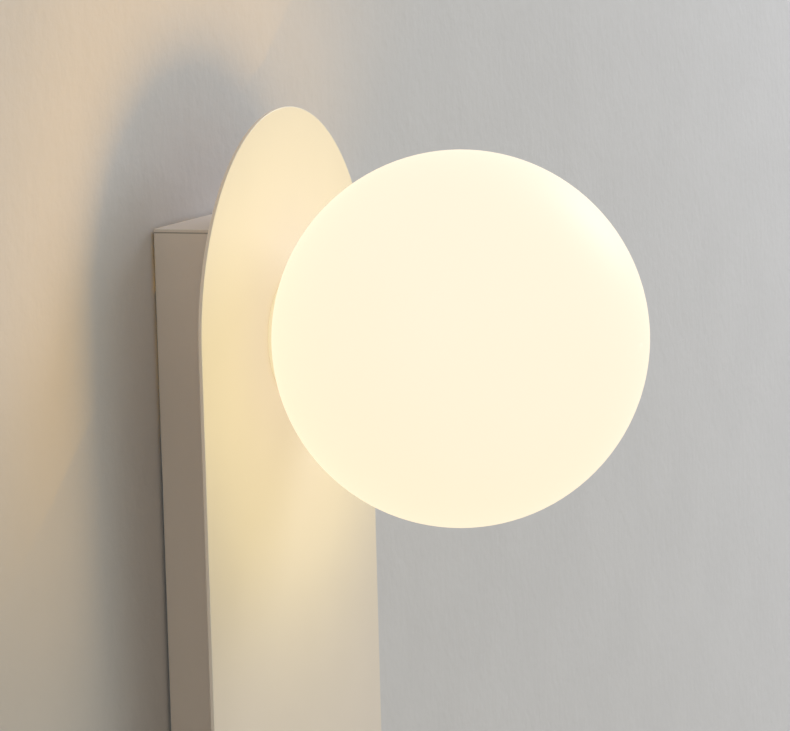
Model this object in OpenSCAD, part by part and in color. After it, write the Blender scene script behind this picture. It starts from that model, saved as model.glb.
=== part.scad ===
// Wall sconce: a folded steel housing on a back plate, a long face panel with round ends and a
// screw-in opal glass globe. The origin is on the wall, at the centre of the fixing slots. The
// wall is the plane y = 0, the light faces -Y, and +Z is up. All sizes are in millimetres.

/* [Face panel] */
// Width of the face panel
panel_w = 175; // [150:1:220]
// Height of the face panel, over both round ends
panel_len = 600; // [520:1:900]
// Sheet thickness of the face panel
panel_t = 1.5; // [1:0.1:3]
// How far the panel reaches past each end of the housing
panel_overhang = 44.5; // [20:0.5:60]

/* [Housing] */
// Width of the housing
housing_w = 92; // [84:1:130]
// Depth of the housing, from its open rim to the face under the panel
housing_d = 36.2; // [32:0.1:60]
// Sheet thickness of the housing
sheet_t = 1.5; // [1:0.1:2]
// Outer radius of the folds along the housing
fold_r = 2.4; // [2.2:0.1:5]
// Gap between the rim of the housing and the wall
rim_gap = 1.2; // [0.6:0.1:3]
// Width of the welding tabs inside the end plates, measured out of the wall
weld_tab_w = 24; // [12:1:26]
// Height of the welding tabs inside the end plates
weld_tab_h = 12; // [6:1:20]

/* [Back plate] */
// Thickness of the back plate
plate_t = 1.5; // [1:0.1:2.5]
// Distance across between the fixing slots
slot_span_x = 60; // [40:1:68]
// Distance of the fixing slots from the inner ends of the housing
slot_inset = 44; // [36:1:80]
// Width of a fixing slot
slot_w = 5.2; // [4:0.1:7]
// Length of a fixing slot
slot_len = 10; // [8:0.5:14]
// Height of the cable inlet above the centre of the slots
inlet_y = 40; // [0:1:60]
// Bore of the grommet in the cable inlet
inlet_bore = 10; // [7:0.5:14]
// Length of the grommet
grommet_len = 8; // [5:0.5:12]
// Width of the folded end tabs
end_tab_w = 36; // [20:1:50]
// Reach of the folded end tabs out of the wall
end_tab_reach = 22; // [18:1:28]

/* [Globe] */
// Diameter of the glass globe
globe_d = 150; // [130:1:170]
// Wall thickness of the glass
glass_t = 3; // [2:0.1:4]
// How far the globe sits below the centre of the panel's round end
globe_drop = 4.3; // [0:0.1:15]
// How far the ball would reach behind the panel's face if it were whole
globe_seat = 1.85; // [1:0.05:1.9]
// Diameter of the glass neck without its thread
neck_d = 36; // [34:0.5:44]
// Wall thickness of the neck
neck_wall = 2.5; // [2:0.1:3]
// Length of the neck behind the panel's face
neck_len = 14; // [12:0.5:18]
// Pitch of the neck's thread
thread_pitch = 4; // [3.6:0.1:5]
// Height of the neck's thread
thread_h = 1.2; // [0.8:0.1:1.5]
// Outer diameter of the gasket
gasket_od = 46; // [43:0.5:52]

/* [Lampholder and lamp] */
// Diameter of the ceramic lampholder
holder_d = 23; // [20:0.5:24]
// Height of the ceramic lampholder
holder_h = 24; // [20:0.5:28]
// Thickness of the lampholder's flange
holder_flange_t = 3; // [2:0.5:4]
// Distance between the two pins of the lamp
pin_pitch = 9; // [8:0.1:10]
// Length of the pins
pin_len = 12; // [9:0.5:13]
// Diameter of the lamp's clear cap
lamp_d = 16; // [13:0.5:18]
// Length of the lamp in front of the lampholder
lamp_len = 50; // [40:1:60]

/* [Terminals] */
// Height of the terminal block's middle above the centre of the slots
terminal_y = 80; // [74:1:90]
// Distance between two poles of the terminal block
pole_pitch = 12; // [10:0.5:14]
// Length of the terminal block along the wires
block_len = 22; // [20:1:28]
// Height of the terminal block out of the housing's web
block_h = 15; // [13:0.5:18]

/* [Fasteners] */
// Shank diameter of the lock screw, the studs and the earth screw
m4_d = 4; // [3.5:0.1:4.5]
// Shank diameter of the small screws
m3_d = 3; // [2.5:0.1:3.2]
// Rows of studs behind the panel
stud_rows = 3; // [2:1:5]
// Distance across between the studs
stud_span = 60; // [54:1:66]

/* [Hidden] */
$fn = 96;

// Clearances: beside a moving or soft piece, round a fastener, round a turning shank, under a
// piece that rests on another, and the extra length that lets a cut run past the face it opens
clear = 0.3;
hole_clear = 0.3;
fit = 0.05;
seat_gap = 0.1;
past = 1;

// Distances out of the wall
web_front = rim_gap + housing_d;
web_back = web_front - sheet_t;
panel_front = web_front + panel_t;
globe_out = panel_front + globe_d / 2 - globe_seat;
neck_end = panel_front - neck_len;

// Heights above the centre of the slots
housing_len = panel_len - 2 * panel_overhang;
end_inner = housing_len / 2 - sheet_t;
end_tab_start = web_back - fold_r - weld_tab_w;
globe_y = panel_len / 2 - panel_w / 2 - globe_drop;

// Globe neck, its thread and the cup that takes it
neck_r = neck_d / 2;
thread_tip_r = neck_r + thread_h;
cup_bore_r = thread_tip_r + clear;
cup_t = 1.5;
cup_r = cup_bore_r + cup_t;
cup_flange_w = 8;
cup_flange_r = cup_r + cup_flange_w;
neck_hole_r = cup_bore_r + seat_gap;
thread_root_w = 0.4 * thread_pitch;
thread_tip_w = 0.2 * thread_pitch;
thread_sink = 0.5;
thread_steps = 24;
thread_lead_in = 1.5;
thread_start = neck_end + thread_lead_in;
neck_turns = 1.5;
cup_turns = 1.25;

// Gasket between the globe and the panel
gasket_in = neck_r + 0.5;
gasket_gap = 0.15;

// Small screw heads
head_h = 1.8;
head_r = 0.9 * m3_d;
holder_head_room = 1.1;

// Lampholder with its sockets, contact leaves and contact tails
cup_floor = neck_end - holder_flange_t - head_h - holder_head_room;
cup_back = cup_floor - cup_t;
holder_r = holder_d / 2;
holder_front = cup_floor + holder_h;
holder_chamfer = 1;
holder_screw_x = holder_r + head_r + clear;
holder_flange_r = holder_screw_x + head_r + clear;
wire_hole_r = 7;
pin_x = pin_pitch / 2;
pin_w = 2.6;
pin_t = 0.9;
pin_wire = 0.7;
pin_end_room = 1.5;
socket_room = 0.4;
socket_w = pin_w + 2 * socket_room;
socket_t = 2 * pin_t;
socket_floor = holder_front - pin_len - pin_end_room;
leaf_t = 0.3;
leaf_gap = 0.1;
leaf_out = pin_t / 2 + leaf_gap + leaf_t;
leaf_len = pin_len - 1;
tail_r = 1;
tail_len = 3.5;
tail_end = socket_floor - tail_len;
rear_hole_r = tail_r + socket_room;

// Lamp
lamp_back = holder_front + clear;
base_len = 9;
base_step = 1;
base_lip = 2;
cap_wall = 1;
cap_centre = lamp_back + lamp_len - lamp_d / 2;
core_r = 0.3 * lamp_d;

// Screws of the cup flange
cup_screw_count = 3;
cup_screw_r = cup_r + cup_flange_w / 2;
cup_screw_depth = 1.1;
cup_screw_spots = [for (i = [0:cup_screw_count - 1])
    let (turn = 90 + 360 * i / cup_screw_count)
    [cup_screw_r * cos(turn), globe_y + cup_screw_r * sin(turn)]];

// Back plate and the grommet in its cable inlet
plate_side_gap = 0.5;
plate_w = housing_w - 2 * sheet_t - 2 * plate_side_gap;
plate_fold_r = plate_t + 1;
end_tab_y = end_inner - clear;
plate_flat = end_tab_y - plate_fold_r;
slot_y = end_inner - slot_inset;
grommet_wall = 2;
grommet_groove = 1;
grommet_lip = 2.5;
grommet_lip_t = 2;
grommet_tube_r = inlet_bore / 2 + grommet_wall;
inlet_hole_r = grommet_tube_r + grommet_groove;
grommet_lip_r = inlet_hole_r + grommet_lip;
shank_recess = 0.2;

// Spring clips on the back plate, clear of the fixing slots
clip_t = 0.6;
clip_w = 16;
clip_foot = 20;
clip_arm = 16;
clip_x = housing_w / 2 - sheet_t - clear;
clip_to_slot = 25;
clip_y = slot_y - clip_to_slot;
rivet_r = 1.5;
rivet_head_h = 1.2;
rivet_x = clip_x - 0.6 * clip_foot;

// M4 heads, washers and nuts
m4_head_h = 2.6;
m4_head_r = m4_d;
washer_t = 0.8;
washer_rim = 2.3;
nut_af = 1.75 * m4_d;
nut_h = 0.8 * m4_d;
recess_depth = 1.4;

// Earth screw on the back plate
earth_aside = 22;
earth_below_inlet = 25;
earth_screw_pos = [-earth_aside, inlet_y - earth_below_inlet];
boss_wall = 1.6;
boss_r = m4_d / 2 + boss_wall;
boss_h = 2;
boss_face = plate_t + boss_h;

// Lock screw under the housing
lock_out = 13;
lock_len = 7.5;
lock_washer_rim = 0.7;
lock_washer_top = -housing_len / 2 - seat_gap;
lock_head_top = lock_washer_top - washer_t;

// Studs behind the panel
stud_to_cup = 48;
stud_inset = 25;
stud_top = globe_y - cup_flange_r - stud_to_cup;
stud_bottom = stud_inset - housing_len / 2;
stud_step = (stud_top - stud_bottom) / (stud_rows - 1);
stud_spots = [for (row = [0:stud_rows - 1], side = [-1, 1])
    [side * stud_span / 2, stud_bottom + row * stud_step]];
stud_len = 11;

// Terminal block
poles = [-pole_pitch, 0, pole_pitch];
block_side = 2;
block_w = 3 * pole_pitch + 2 * block_side;
block_face = web_back - block_h;
clamp_r = 3;
clamp_inset = 1;
clamp_len = block_len - 2 * clamp_inset;
clamp_bore_r = 1.6;
clamp_out = web_back - block_h / 2;
terminal_screw_y = clamp_len / 4;
terminal_screw_r = 1.25;
terminal_head_r = 1.9;
terminal_head_h = 2.2;
terminal_head_sink = 0.4;

// Earth connection of the housing: a stud and a crimped tag that its lead ends in
wire_r = 1;
earth_rise = 42;
earth_spot = [earth_aside, terminal_y + earth_rise];
tag_t = 0.8;
barrel_wall = 0.5;
barrel_r = wire_r + barrel_wall;
barrel_len = 6;
barrel_top = earth_spot[1] - 1.5 * m4_d;
barrel_start = barrel_top - barrel_len;
barrel_out = web_back - barrel_r;

// Leads: each runs straight where it enters a clamp, a contact or the tag
wire_top = terminal_y + clamp_len / 2;
wire_back = cup_back - 7;
lead_drop = 40;
live_route = [
    [-pin_x, globe_y, tail_end], [-pin_x, globe_y, cup_floor + 4], [-pin_x, globe_y, cup_back + 2],
    [-pin_x - 1, globe_y - 3, cup_back - 4], [-pin_x - 2, globe_y - 12, wire_back],
    [-pin_x - 3, globe_y - lead_drop, wire_back], [2 - pole_pitch, wire_top + lead_drop, wire_back + 4],
    [-pole_pitch, wire_top + 18, clamp_out - 4], [-pole_pitch, wire_top + 7, clamp_out],
    [-pole_pitch, wire_top, clamp_out], [-pole_pitch, wire_top - 4, clamp_out]
];
neutral_route = [for (p = live_route) [-p[0], p[1], p[2]]];
earth_route = [
    [0, wire_top - 4, clamp_out], [0, wire_top, clamp_out], [0, wire_top + 4, clamp_out],
    [3, wire_top + 8, clamp_out + 1], [11, wire_top + 11, clamp_out + 3],
    [earth_aside - 3, wire_top + 13, barrel_out - 1], [earth_aside, barrel_start - 4, barrel_out],
    [earth_aside, barrel_start - 1, barrel_out], [earth_aside, barrel_top - 2, barrel_out]
];
wire_sides = 8;
wire_steps = 3;

// Colours
cream = [0.93, 0.88, 0.77];
opal = [1, 0.97, 0.87];
zinc = [0.72, 0.74, 0.76];
spring_steel = [0.5, 0.52, 0.55];
brass = [0.8, 0.66, 0.33];
ceramic = [0.93, 0.92, 0.88];
silicone = [0.85, 0.84, 0.8];
grey_rubber = [0.25, 0.25, 0.26];

// Pieces are drawn lying on the wall side, with X across, Y up the wall and Z out of the wall.
// This turns one into its standing place.
module stand() rotate([90, 0, 0]) children();

// Round bar out of the wall, from one distance to another
module rod(spot, from, to, r) translate([spot[0], spot[1], from]) cylinder(h = to - from, r = r);

// Round bar along the height, from one height up to another
module upright_rod(x, from, to, out, r)
    translate([x, to, out]) rotate([90, 0, 0]) cylinder(h = to - from, r = r);

// Prism along the height of a section given as X across and Y out of the wall
module upright(from, to)
    translate([0, to, 0]) rotate([90, 0, 0]) linear_extrude(to - from) children();

// Prism across of a section given as X up and Y out of the wall
module across(width) rotate([90, 0, 90]) linear_extrude(width, center = true) children();

module slot_2d(length, width) {
    square([length - width, width], center = true);
    for (side = [-1, 1]) translate([side * (length - width) / 2, 0]) circle(width / 2);
}

// Rectangle from the origin with its lower right corner rounded
module corner_2d(a, b, r) {
    square([a - r, b]);
    translate([0, r]) square([a, b - r]);
    translate([a - r, r]) circle(r);
}

// Section of a sheet folded up at the right: a foot of length a and a leg of height b
module fold_2d(a, b, t, r) difference() {
    corner_2d(a, b, r);
    translate([-past, t]) corner_2d(a - t + past, b, r - t);
}

// Outline of the housing across its length, from the rim at y = 0 out to the web
module housing_2d(w, d, r) {
    translate([-w / 2, 0]) square([w, d - r]);
    translate([r - w / 2, 0]) square([w - 2 * r, d]);
    for (side = [-1, 1]) translate([side * (w / 2 - r), d - r]) circle(r);
}

// Solid through rings of points that all have the same number of corners
module loft(rings) {
    n = len(rings[0]);
    last = len(rings) - 1;
    corners = [for (ring = rings, p = ring) p];
    walls = [for (i = [0:last - 1], k = [0:n - 1])
        let (a = i * n + k, b = i * n + (k + 1) % n) each [[a, b, b + n], [a, b + n, a + n]]];
    polyhedron(concat(corners), concat(walls,
        [[for (k = [n - 1:-1:0]) k], [for (k = [0:n - 1]) last * n + k]]));
}

// Right-hand thread ridge along Z: from radius root to radius tip, first turn centred at z0
module thread_ridge(root, tip, z0, turns) {
    steps = turns * thread_steps;
    loft([for (i = [0:steps])
        let (turn = 360 * i / thread_steps, z = z0 + thread_pitch * i / thread_steps)
        [for (c = [[root, -thread_root_w], [root, thread_root_w], [tip, thread_tip_w],
            [tip, -thread_tip_w]])
            [c[0] * cos(turn), c[0] * sin(turn), z + c[1] / 2]]]);
}

// Smooth curve through hand-picked points
function blend_point(a, b, c, d, t) = 0.5 * (2 * b + (c - a) * t + (2 * a - 5 * b + 4 * c - d) * t * t
    + (3 * b - a - 3 * c + d) * t * t * t);
function curve(p, steps) = [
    for (i = [0:len(p) - 2], k = [0:steps - 1])
        blend_point(p[max(i - 1, 0)], p[i], p[i + 1], p[min(i + 2, len(p) - 1)], k / steps),
    p[len(p) - 1]
];
function unit(v) = v / norm(v);

// Round lead along a route that never runs straight across
module wire(route) {
    path = curve(route, wire_steps);
    last = len(path) - 1;
    loft([for (i = [0:last])
        let (along = unit(path[min(i + 1, last)] - path[max(i - 1, 0)]),
            side = unit(cross(along, [1, 0, 0])), rise = cross(along, side))
        [for (k = [0:wire_sides - 1])
            let (turn = 360 * k / wire_sides) path[i] + wire_r * (cos(turn) * side + sin(turn) * rise)]]);
}

// Washer and nut that stand on the wall side of a face
module washer(spot, face, hole_r)
    difference() {
        rod(spot, face - washer_t, face, hole_r + washer_rim);
        rod(spot, face - washer_t - past, face + past, hole_r);
    }

module nut(spot, face)
    difference() {
        translate([spot[0], spot[1], face - nut_h])
            cylinder(h = nut_h, r = nut_af / sqrt(3), $fn = 6);
        rod(spot, face - nut_h - past, face + past, m4_d / 2 + fit);
    }

// Cross-shaped driver recess that goes down from z = 0
module cross_recess()
    for (turn = [0, 90])
        rotate([0, 0, turn]) translate([-m4_d / 2, -m4_d / 10, -recess_depth])
            cube([m4_d, m4_d / 5, recess_depth + past]);

module back_plate() color(zinc) stand() difference() {
    union() {
        translate([-plate_w / 2, -plate_flat, 0]) cube([plate_w, 2 * plate_flat, plate_t]);
        for (end = [0, 1])
            mirror([0, end, 0]) across(end_tab_w)
                fold_2d(end_tab_y, end_tab_reach, plate_t, plate_fold_r);
        rod(earth_screw_pos, 0, boss_face, boss_r);
    }
    for (sx = [-1, 1], sy = [-1, 1])
        translate([sx * slot_span_x / 2, sy * slot_y, -past])
            linear_extrude(plate_t + 2 * past) slot_2d(slot_len, slot_w);
    rod([0, inlet_y], -past, plate_t + past, inlet_hole_r);
    rod(earth_screw_pos, -past, boss_face + past, m4_d / 2 + fit);
    for (side = [-1, 1], y = [-clip_y, clip_y])
        rod([side * rivet_x, y], -past, plate_t + past, rivet_r + fit);
    upright_rod(0, -end_tab_y - past, plate_t + past - end_tab_y, lock_out, m4_d / 2 + fit);
}

module supply_grommet() color(grey_rubber) stand() difference() {
    union() {
        rod([0, inlet_y], 0, plate_t + grommet_lip_t, inlet_hole_r - fit);
        rod([0, inlet_y], plate_t, plate_t + grommet_lip_t, grommet_lip_r);
        rod([0, inlet_y], plate_t, grommet_len, grommet_tube_r);
    }
    rod([0, inlet_y], -past, grommet_len + past, inlet_bore / 2);
}

module spring_clips() color(spring_steel) stand()
    for (side = [0, 1], y = [-clip_y, clip_y])
        mirror([side, 0, 0]) difference() {
            translate([clip_x - clip_foot, 0, plate_t]) upright(y - clip_w / 2, y + clip_w / 2)
                fold_2d(clip_foot, clip_arm, clip_t, 2 * clip_t);
            rod([rivet_x, y], plate_t - past, plate_t + clip_t + past, rivet_r + fit);
        }

module clip_rivets() color(zinc) stand()
    for (side = [-1, 1], y = [-clip_y, clip_y]) {
        rod([side * rivet_x, y], shank_recess, plate_t + clip_t + rivet_head_h / 2, rivet_r);
        translate([side * rivet_x, y, plate_t + clip_t])
            cylinder(h = rivet_head_h, r1 = 2 * rivet_r, r2 = 1.3 * rivet_r);
    }

module plate_earth_washer() color(brass) stand()
    washer(earth_screw_pos, boss_face + washer_t, m4_d / 2 + hole_clear);

module plate_earth_screw() color(brass) stand() difference() {
    union() {
        rod(earth_screw_pos, shank_recess, boss_face + washer_t, m4_d / 2);
        rod(earth_screw_pos, boss_face + washer_t, boss_face + washer_t + m4_head_h, m4_head_r);
    }
    translate([earth_screw_pos[0], earth_screw_pos[1], boss_face + washer_t + m4_head_h])
        cross_recess();
}

module lock_washer() color(zinc) stand() difference() {
    upright_rod(0, lock_head_top, lock_washer_top, lock_out, m4_head_r + lock_washer_rim);
    upright_rod(0, lock_head_top - past, lock_washer_top + past, lock_out, m4_d / 2 + fit);
}

module lock_screw() color(zinc) stand() difference() {
    union() {
        upright_rod(0, lock_head_top, lock_head_top + lock_len, lock_out, m4_d / 2);
        upright_rod(0, lock_head_top - m4_head_h, lock_head_top, lock_out, m4_head_r);
    }
    translate([0, lock_head_top - m4_head_h, lock_out]) rotate([90, 0, 0]) cross_recess();
}

module housing_channel() color(cream) stand() difference() {
    upright(-end_inner, end_inner) translate([0, rim_gap]) difference() {
        housing_2d(housing_w, housing_d, fold_r);
        translate([0, -sheet_t])
            housing_2d(housing_w - 2 * sheet_t, housing_d, fold_r - sheet_t);
    }
    rod([0, globe_y], web_back - past, web_front + past, neck_hole_r);
    for (spot = stud_spots) rod(spot, web_back - past, web_front + past, m4_d / 2 + hole_clear);
    for (spot = cup_screw_spots) rod(spot, web_back - past, web_front + past, m3_d / 2 + fit);
    for (side = [-1, 1])
        rod([side * pole_pitch / 2, terminal_y], web_back - past, web_front + past, m3_d / 2 + fit);
}

// Plate over one end of the channel, with the tabs that are welded inside its side walls
module end_plate() {
    upright(end_inner, end_inner + sheet_t) translate([0, rim_gap])
        housing_2d(housing_w, housing_d, fold_r);
    for (side = [0, 1])
        mirror([side, 0, 0])
            translate([housing_w / 2 - 2 * sheet_t, end_inner - weld_tab_h, end_tab_start])
                cube([sheet_t, weld_tab_h, weld_tab_w]);
}

module top_end_plate() color(cream) stand() end_plate();

module bottom_end_plate() color(cream) stand() difference() {
    mirror([0, 1, 0]) end_plate();
    upright_rod(0, -housing_len / 2 - past, past - end_inner, lock_out, m4_d / 2 + hole_clear);
    translate([-m4_d / 2 - hole_clear, -housing_len / 2 - past, 0])
        cube([m4_d + 2 * hole_clear, sheet_t + 2 * past, lock_out]);
}

module face_panel() color(cream) stand() difference() {
    translate([0, 0, web_front]) rotate([0, 0, 90]) linear_extrude(panel_t)
        slot_2d(panel_len, panel_w);
    rod([0, globe_y], web_front - past, panel_front + past, neck_hole_r);
    for (spot = cup_screw_spots)
        rod(spot, web_front - past, web_front + cup_screw_depth, m3_d / 2 + fit);
}

module panel_studs() color(zinc) stand()
    for (spot = stud_spots) rod(spot, web_front - stud_len, web_front, m4_d / 2);

module panel_washers() color(zinc) stand()
    for (spot = stud_spots) washer(spot, web_back, m4_d / 2 + fit);

module panel_nuts() color(zinc) stand()
    for (spot = stud_spots) nut(spot, web_back - washer_t);

module shade_cup() color(zinc) stand() union() {
    difference() {
        union() {
            rod([0, globe_y], cup_back, web_back, cup_r);
            rod([0, globe_y], web_back - cup_t, web_back, cup_flange_r);
        }
        rod([0, globe_y], cup_floor, web_back + past, cup_bore_r);
        rod([0, globe_y], cup_back - past, cup_floor + past, wire_hole_r);
        for (side = [-1, 1])
            rod([side * holder_screw_x, globe_y], cup_back - past, cup_floor + past, m3_d / 2 + fit);
        for (spot = cup_screw_spots)
            rod(spot, web_back - cup_t - past, web_back + past, m3_d / 2 + fit);
    }
    translate([0, globe_y, 0])
        thread_ridge(cup_bore_r + thread_sink, neck_r + clear, thread_start + thread_pitch / 2,
            cup_turns);
}

// Screws whose heads stand on the wall side of a face
module cup_screws() color(zinc) stand()
    for (spot = cup_screw_spots) {
        rod(spot, web_back - cup_t, web_front + cup_screw_depth - seat_gap, m3_d / 2);
        rod(spot, web_back - cup_t - head_h, web_back - cup_t, head_r);
    }

// The gasket's front follows the ball at an even gap
function ball_gap(r) = globe_d / 2 - globe_seat - sqrt(pow(globe_d / 2, 2) - r * r);

module globe_gasket() color(silicone) stand() translate([0, globe_y, panel_front])
    rotate_extrude() polygon([
        [gasket_in, 0], [gasket_od / 2, 0], [gasket_od / 2, ball_gap(gasket_od / 2) - gasket_gap],
        [gasket_in, ball_gap(gasket_in) - gasket_gap]
    ]);

module globe() color(opal) stand() translate([0, globe_y, 0]) union() {
    rotate_extrude($fn = 180) difference() {
        union() {
            translate([0, globe_out]) circle(globe_d / 2);
            translate([0, neck_end]) square([neck_r, globe_out - neck_end]);
        }
        translate([0, globe_out]) circle(globe_d / 2 - glass_t);
        translate([-neck_r, neck_end - past])
            square([2 * neck_r - neck_wall, globe_out - neck_end]);
        translate([-globe_d, globe_out - globe_d]) square([globe_d, 2 * globe_d]);
    }
    thread_ridge(neck_r - thread_sink, thread_tip_r, thread_start, neck_turns);
}

module lampholder() color(ceramic) stand() difference() {
    union() {
        rod([0, globe_y], cup_floor, cup_floor + holder_flange_t, holder_flange_r);
        rod([0, globe_y], cup_floor, holder_front - holder_chamfer, holder_r);
        translate([0, globe_y, holder_front - holder_chamfer])
            cylinder(h = holder_chamfer, r1 = holder_r, r2 = holder_r - holder_chamfer);
    }
    for (side = [-1, 1]) {
        translate([side * pin_x - socket_w / 2, globe_y - socket_t / 2, socket_floor])
            cube([socket_w, socket_t, holder_h]);
        rod([side * pin_x, globe_y], cup_floor - past, socket_floor + past / 2, rear_hole_r);
        rod([side * holder_screw_x, globe_y], cup_floor - past, cup_floor + holder_flange_t + past,
            m3_d / 2 + fit);
    }
}

module lampholder_contacts() color(brass) stand()
    for (side = [-1, 1]) {
        rod([side * pin_x, globe_y], tail_end, socket_floor + leaf_t, tail_r);
        translate([side * pin_x - pin_w / 2, globe_y - leaf_out, socket_floor])
            cube([pin_w, 2 * leaf_out, leaf_t]);
        for (face = [0, 1])
            translate([side * pin_x, globe_y, socket_floor]) mirror([0, face, 0])
                translate([-pin_w / 2, leaf_out - leaf_t, 0]) cube([pin_w, leaf_t, leaf_len]);
    }

module lampholder_screws() color(zinc) stand()
    for (side = [-1, 1]) {
        rod([side * holder_screw_x, globe_y], cup_back, cup_floor + holder_flange_t, m3_d / 2);
        rod([side * holder_screw_x, globe_y], cup_floor + holder_flange_t,
            cup_floor + holder_flange_t + head_h, head_r);
    }

// Two wire loops that plug into the lampholder
module bulb_pins() color(spring_steel) stand()
    for (side = [-1, 1])
        upright(globe_y - pin_t / 2, globe_y + pin_t / 2) intersection() {
            translate([side * pin_x, holder_front]) rotate([0, 0, 90]) difference() {
                slot_2d(2 * pin_len, pin_w);
                slot_2d(2 * (pin_len - pin_wire), pin_w - 2 * pin_wire);
            }
            translate([-lamp_d, 0]) square([2 * lamp_d, lamp_back]);
        }

module bulb_base() color(ceramic) stand() union() {
    rod([0, globe_y], lamp_back, lamp_back + base_len, lamp_d / 2 - base_step);
    rod([0, globe_y], lamp_back + base_len - base_lip, lamp_back + base_len, lamp_d / 2);
}

module bulb_core() color(opal) stand()
    translate([0, globe_y, lamp_back + base_len])
        cylinder(h = lamp_len - base_len - lamp_d / 2, r = core_r, $fn = 8);

module bulb_capsule() color(opal) stand() difference() {
    union() {
        rod([0, globe_y], lamp_back + base_len, cap_centre, lamp_d / 2);
        translate([0, globe_y, cap_centre]) sphere(lamp_d / 2);
    }
    rod([0, globe_y], lamp_back + base_len - past, cap_centre, lamp_d / 2 - cap_wall);
    translate([0, globe_y, cap_centre]) sphere(lamp_d / 2 - cap_wall);
}

module terminal_block() color(ceramic) stand() difference() {
    translate([-block_w / 2, terminal_y - block_len / 2, block_face])
        cube([block_w, block_len, block_h]);
    for (x = poles) {
        upright_rod(x, terminal_y - block_len, terminal_y + block_len, clamp_out, clamp_r + fit);
        for (side = [-1, 1])
            rod([x, terminal_y + side * terminal_screw_y], block_face - past, clamp_out,
                terminal_head_r + hole_clear);
    }
    for (side = [-1, 1])
        rod([side * pole_pitch / 2, terminal_y], block_face - past, web_back + past,
            m3_d / 2 + fit);
}

module terminal_clamps() color(brass) stand()
    for (x = poles) difference() {
        upright_rod(x, terminal_y - clamp_len / 2, terminal_y + clamp_len / 2, clamp_out, clamp_r);
        upright_rod(x, terminal_y - clamp_len, terminal_y + clamp_len, clamp_out, clamp_bore_r);
        for (side = [-1, 1])
            rod([x, terminal_y + side * terminal_screw_y], clamp_out - 2 * clamp_r, clamp_out,
                terminal_screw_r + fit);
    }

module terminal_screws() color(zinc) stand()
    for (x = poles, side = [-1, 1]) {
        rod([x, terminal_y + side * terminal_screw_y], block_face + terminal_head_h,
            clamp_out - wire_r - fit, terminal_screw_r);
        rod([x, terminal_y + side * terminal_screw_y], block_face + terminal_head_sink,
            block_face + terminal_head_h, terminal_head_r);
    }

module terminal_fixings() color(zinc) stand()
    for (side = [-1, 1]) {
        rod([side * pole_pitch / 2, terminal_y], block_face, web_front - seat_gap, m3_d / 2);
        rod([side * pole_pitch / 2, terminal_y], block_face - head_h, block_face, head_r);
    }

module live_wire() color([0.45, 0.26, 0.14]) stand() wire(live_route);

module neutral_wire() color([0.15, 0.32, 0.6]) stand() wire(neutral_route);

module earth_wire() color([0.45, 0.62, 0.2]) stand() wire(earth_route);

module earth_stud() color(zinc) stand() rod(earth_spot, web_back - stud_len, web_back, m4_d / 2);

module earth_tag() color(brass) stand() difference() {
    union() {
        rod(earth_spot, web_back - tag_t, web_back, m4_d);
        translate([earth_spot[0] - barrel_r, barrel_top - barrel_len, web_back - tag_t])
            cube([2 * barrel_r, earth_spot[1] - barrel_top + barrel_len, tag_t]);
        upright_rod(earth_spot[0], barrel_top - barrel_len, barrel_top, barrel_out, barrel_r);
    }
    rod(earth_spot, web_back - tag_t - past, web_back + past, m4_d / 2 + fit);
    upright_rod(earth_spot[0], barrel_top - barrel_len - past, barrel_top + past / 2, barrel_out,
        wire_r + fit);
}

module earth_nut() color(zinc) stand() nut(earth_spot, web_back - tag_t);

back_plate();
supply_grommet();
spring_clips();
clip_rivets();
plate_earth_washer();
plate_earth_screw();
lock_washer();
lock_screw();
housing_channel();
top_end_plate();
bottom_end_plate();
face_panel();
panel_studs();
panel_washers();
panel_nuts();
shade_cup();
cup_screws();
globe_gasket();
globe();
lampholder();
lampholder_contacts();
lampholder_screws();
bulb_pins();
bulb_base();
bulb_core();
bulb_capsule();
terminal_block();
terminal_clamps();
terminal_screws();
terminal_fixings();
live_wire();
neutral_wire();
earth_wire();
earth_stud();
earth_tag();
earth_nut();
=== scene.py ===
"""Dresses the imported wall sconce: coated sheet steel, a lit opal globe and the fittings inside."""

import math
from functools import cache

import bmesh
import bpy
from bpy.props import FloatProperty, FloatVectorProperty, IntProperty, PointerProperty
from mathutils import Matrix, Vector

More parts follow.
